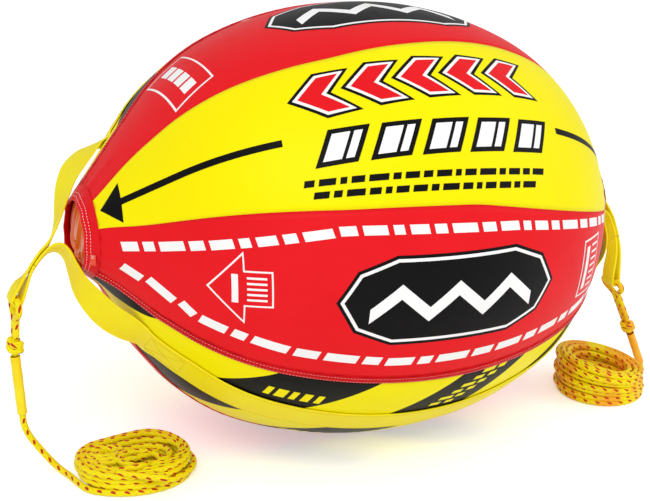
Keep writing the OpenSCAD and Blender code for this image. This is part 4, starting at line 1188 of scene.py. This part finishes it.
# ---- The pull tab ----
# A short folded loop of paler red tape sewn by its upper edge to the front
# collar. It is pulled to work the cover over the bladder, and swings on its seam.
tab_tape = webbing_finish("tab_tape", "#F2553F", "#E5402C", "#F07A62")
tab_x = opening_x - 0.010
tab_top = np.array((-tab_x, -(float(girth(tab_x, 0.001)) + 0.0016), middle_height))
tab_out = np.array((-math.sin(cone_slope), -math.cos(cone_slope), 0))
tab_across = np.array((math.cos(cone_slope), -math.sin(cone_slope), 0))
t = np.linspace(0, 1, 14)
tab_path = tab_top + np.outer(t, (0, 0, -0.020)) + np.outer(0.0003 * np.sin(np.pi * t), tab_out)
tab_band = webbing(tab_path, np.repeat([tab_across], 14, axis=0), np.repeat([tab_out], 14, axis=0),
                             np.full(14, 0.006), np.full(14, 0.0019), np.zeros(14), np.zeros(14))
tab_rows = []
for a, b in (((-0.004, 0.002), (0.004, 0.002)), ((-0.004, 0.007), (0.004, 0.007)), ((-0.004, 0.002), (0.004, 0.007)),
             ((-0.004, 0.007), (0.004, 0.002))):
    ends = [tab_top + tab_across * p[0] + np.array((0, 0, -p[1])) + tab_out * 0.0012 for p in (a, b)]
    tab_rows.append(stitches(ends, [tab_out, tab_out], 0.0020, 0.0007, 0.0008, 1))
pull_tab = make("pull_tab_tape", [tab_band] + tab_rows, [tab_tape, white_thread], "pull_tab", ["collar_tab"])

# ---- The bladder ----
# An orange vinyl air bag inside the cover. Its ends bulge into the openings, where
# the slack vinyl stands in soft upright folds round a welded patch.
bladder_vinyl, bench, shader = new_finish("bladder_vinyl", rough=0.34, coat=0.12)
place = bench.put("ShaderNodeTexCoord").outputs["Object"]
tone = bench.spread(bench.noise(place, 11.0, 3.0, 0.6), 0.3, 0.7)
bench.tie(bench.blend(tone, dye("#F8892A"), dye("#EE6F1C")), shader.inputs["Base Color"])
bench.tie(bench.spread(tone, 0.0, 1.0, 0.30, 0.44), shader.inputs["Roughness"])
fine = bench.put("ShaderNodeBump", {"Height": bench.noise(place, 60.0, 4.0), "Strength": 0.25, "Distance": 0.0012})
bench.tie(fine.outputs[0], shader.inputs["Normal"])
bladder_x = collar_x - 0.009
valve_at = np.array((0.048 * math.sin(math.radians(hazard_middle)), 0.048 * math.cos(math.radians(hazard_middle))))


def bladder_end(end, r, turn, out=0.0):
    """How far along the ball the bladder's end lies at a place across the opening"""
    y, z = -r * np.cos(turn), r * np.sin(turn)
    folds = (0.0030 * np.sin(2 * np.pi * (y + 0.25 * z * np.sin(20 * z)) / 0.046 + 0.8)
             + 0.0014 * np.sin(2 * np.pi * (y * 0.9 + z * 0.3) / 0.021 + 2))
    dome = (0.022 if end < 0 else 0.010) * np.maximum(0, 1 - (r / 0.118) ** 2) - 0.020 * gentle((r - 0.093) / 0.03)
    if end > 0:
        near_valve = np.exp(-(np.hypot(y - valve_at[0], z - valve_at[1]) / 0.034) ** 4)
        fringe = gentle((r - 0.02) / 0.05)
        return bladder_x - 0.002 + out + (dome * 0.35 + folds * 0.35 * fringe) * (1 - near_valve) - 0.001 * near_valve
    return bladder_x + out + dome + folds * gentle((0.12 - r) / 0.03)


turn = np.linspace(0, 2 * np.pi, 161)[:-1]
skins = []
s = np.linspace(-meridian_of(bladder_x - 0.028), meridian_of(bladder_x - 0.028), 90)
x = station_of(s)
r = girth(x, -0.0052)
r_round = r[:, None] * pulled_up(x[:, None] - 0.012, np.degrees(turn)[None, :])
body_skin = np.stack([np.broadcast_to(x[:, None], (90, 160)), -r_round * np.cos(turn),
                      np.maximum(middle_height + r_round * np.sin(turn), 0.004)], -1)
skins.append(skin(body_skin, wraps=True, flip=False))
for end in (-1, 1):
    rows = []
    for r_here in np.linspace(float(r[0]) - 0.0004, 0.002, 60):
        out_x = bladder_end(end, np.full(160, r_here), turn)
        blend = gentle((r_here - 0.098) / (float(r[0]) - 0.098))
        x_here = out_x * (1 - blend) + (bladder_x - 0.028) * blend
        r_in = r_here * pulled_up(end * x_here - 0.012, np.degrees(turn))
        rows.append(np.column_stack([end * x_here, -r_in * np.cos(turn), middle_height + r_in * np.sin(turn)]))
    skins.append(skin(np.array(rows), wraps=True, flip=end > 0, caps=False))
bladder = make("air_bladder", skins, [bladder_vinyl], "ball", ["bladder"])

# ---- The welded patches ----
# A round patch of the same vinyl is welded on each end of the bladder, with a
# pressed weld line round it. The rear one carries the valve.
patch_vinyl = cloudy_finish("patch_vinyl", ("#F58025", "#EA6716"), 0.3, (16.0, 3.0), (420.0, 2.0, 0.15, 0.0004),
                            (0.3, 0.7), (0.26, 0.4), coat=0.15)


def end_patch(name, end, stands_for):
    rows = []
    for r_here in np.r_[0.0885, 0.0880, 0.0870, 0.0860, 0.0850, 0.0838, 0.0826, 0.0815, np.linspace(0.079, 0.002, 44)]:
        weld = 0.0006 * math.sin((0.0885 - r_here) / 0.007 * math.pi * 3) if r_here > 0.0815 else 0.0003
        out = 0.0011 + weld if r_here < 0.0884 else -0.0006
        out_x = bladder_end(end, np.full(160, r_here), turn, out)
        r_in = r_here * pulled_up(end * out_x, np.degrees(turn))
        rows.append(np.column_stack([end * out_x, -r_in * np.cos(turn), middle_height + r_in * np.sin(turn)]))
    return make(name, [skin(np.array(rows), wraps=True, flip=end > 0)], [patch_vinyl], "ball", [stands_for])


front_patch = end_patch("front_end_patch", -1, "bladder_patch_front")
rear_patch = end_patch("rear_end_patch", 1, "bladder_patch_rear")

# ---- The valve ----
# A two-part screw valve in the rear patch: a black vinyl base welded on, a white
# nylon insert with its tether ring and hinged cap, and a rubber flap inside.
def moulded_finish(name, colour, worn, rough):
    finish, bench, shader = new_finish(name, rough=rough)
    place = bench.put("ShaderNodeTexCoord").outputs["Object"]
    mould = bench.spread(bench.noise(place, 35.0, 3.0), 0.35, 0.75)
    bench.tie(bench.blend(bench.sum("MULTIPLY", mould, 0.6), dye(colour), dye(worn)), shader.inputs["Base Color"])
    bench.tie(bench.spread(mould, 0.0, 1.0, rough - 0.05, rough + 0.12), shader.inputs["Roughness"])
    grain = bench.put("ShaderNodeBump", {"Height": bench.noise(place, 700.0, 2.0), "Strength": 0.2, "Distance": 0.0002})
    bench.tie(grain.outputs[0], shader.inputs["Normal"])
    return finish


valve_black = moulded_finish("valve_black", "#242427", "#3A3A3D", 0.42)
valve_white = moulded_finish("valve_white", "#F1F1EE", "#DEDDD6", 0.34)
flap_rubber = moulded_finish("flap_rubber", "#2A2A2D", "#1F1F21", 0.62)
for node, finish, edge in (("valve_base", valve_black, 0.0005), ("valve_insert", valve_white, 0.0003),
                           ("valve_cap", valve_white, 0.0004), ("valve_tether", valve_white, 0.0002),
                           ("valve_flap", flap_rubber, 0.0002)):
    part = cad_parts[node]
    for holder in part.material_slots:
        holder.material = finish
    softened = part.modifiers.new("moulded_edges", "BEVEL")
    softened.width, softened.segments, softened.limit_method = edge, 2, "ANGLE"

# ---- The floor and the light ----
# A pale matt floor that runs out of sight in a white studio, and two large soft
# lamps: a key one above the ball's front left and a weaker one on its right.
floor_paint, bench, shader = new_finish("floor_paint", rough=0.85, gloss=0.0)
rays = bench.put("ShaderNodeLightPath").outputs
mirrored = bench.sum("MAXIMUM", rays["Is Glossy Ray"], rays["Is Transmission Ray"])
seen = bench.sum("MAXIMUM", rays["Is Camera Ray"], mirrored)
bench.tie(bench.sum("MULTIPLY", seen, 0.42), shader.inputs["Emission Strength"])
shader.inputs["Emission Color"].default_value = (1, 1, 1, 1)
place = bench.put("ShaderNodeTexCoord").outputs["Object"]
bench.tie(bench.blend(bench.noise(place, 3.0), dye("#FFFFFF"), dye("#FCFCFC")), shader.inputs["Base Color"])
mesh = bpy.data.meshes.new("floor")
mesh.from_pydata([(-12, -8, 0), (12, -8, 0), (12, 16, 0), (-12, 16, 0)], [], [(0, 1, 2, 3)])
mesh.materials.append(floor_paint)
floor = bpy.data.objects.new("floor", mesh)
bpy.context.scene.collection.objects.link(floor)

sky = bpy.data.worlds.new("studio")
sky.use_nodes = True
bench = Bench(sky.node_tree)
backdrop = sky.node_tree.nodes["Background"]
rays = bench.put("ShaderNodeLightPath").outputs
direct = bench.sum("MAXIMUM", rays["Is Camera Ray"], rays["Is Transmission Ray"])
bench.tie(bench.spread(direct, 0.0, 1.0, 0.66, 1.0), backdrop.inputs["Strength"])
backdrop.inputs["Color"].default_value = (1, 1, 1, 1)
bpy.context.scene.world = sky


def soft_lamp(name, at, aim, size, watts):
    lamp = bpy.data.lights.new(name, "AREA")
    lamp.shape, lamp.size, lamp.size_y, lamp.energy = "RECTANGLE", size[0], size[1], watts
    hung = bpy.data.objects.new(name, lamp)
    hung.location = at
    hung.rotation_euler = (Vector(aim) - Vector(at)).to_track_quat("-Z", "Y").to_euler()
    bpy.context.scene.collection.objects.link(hung)
    return hung


soft_lamp("key_lamp", (-1.6, -3.0, 3.4), (0, 0, 0.4), (2.6, 2.0), 62)
soft_lamp("fill_lamp", (3.2, -2.0, 2.4), (0, 0, 0.4), (2.4, 2.4), 24)
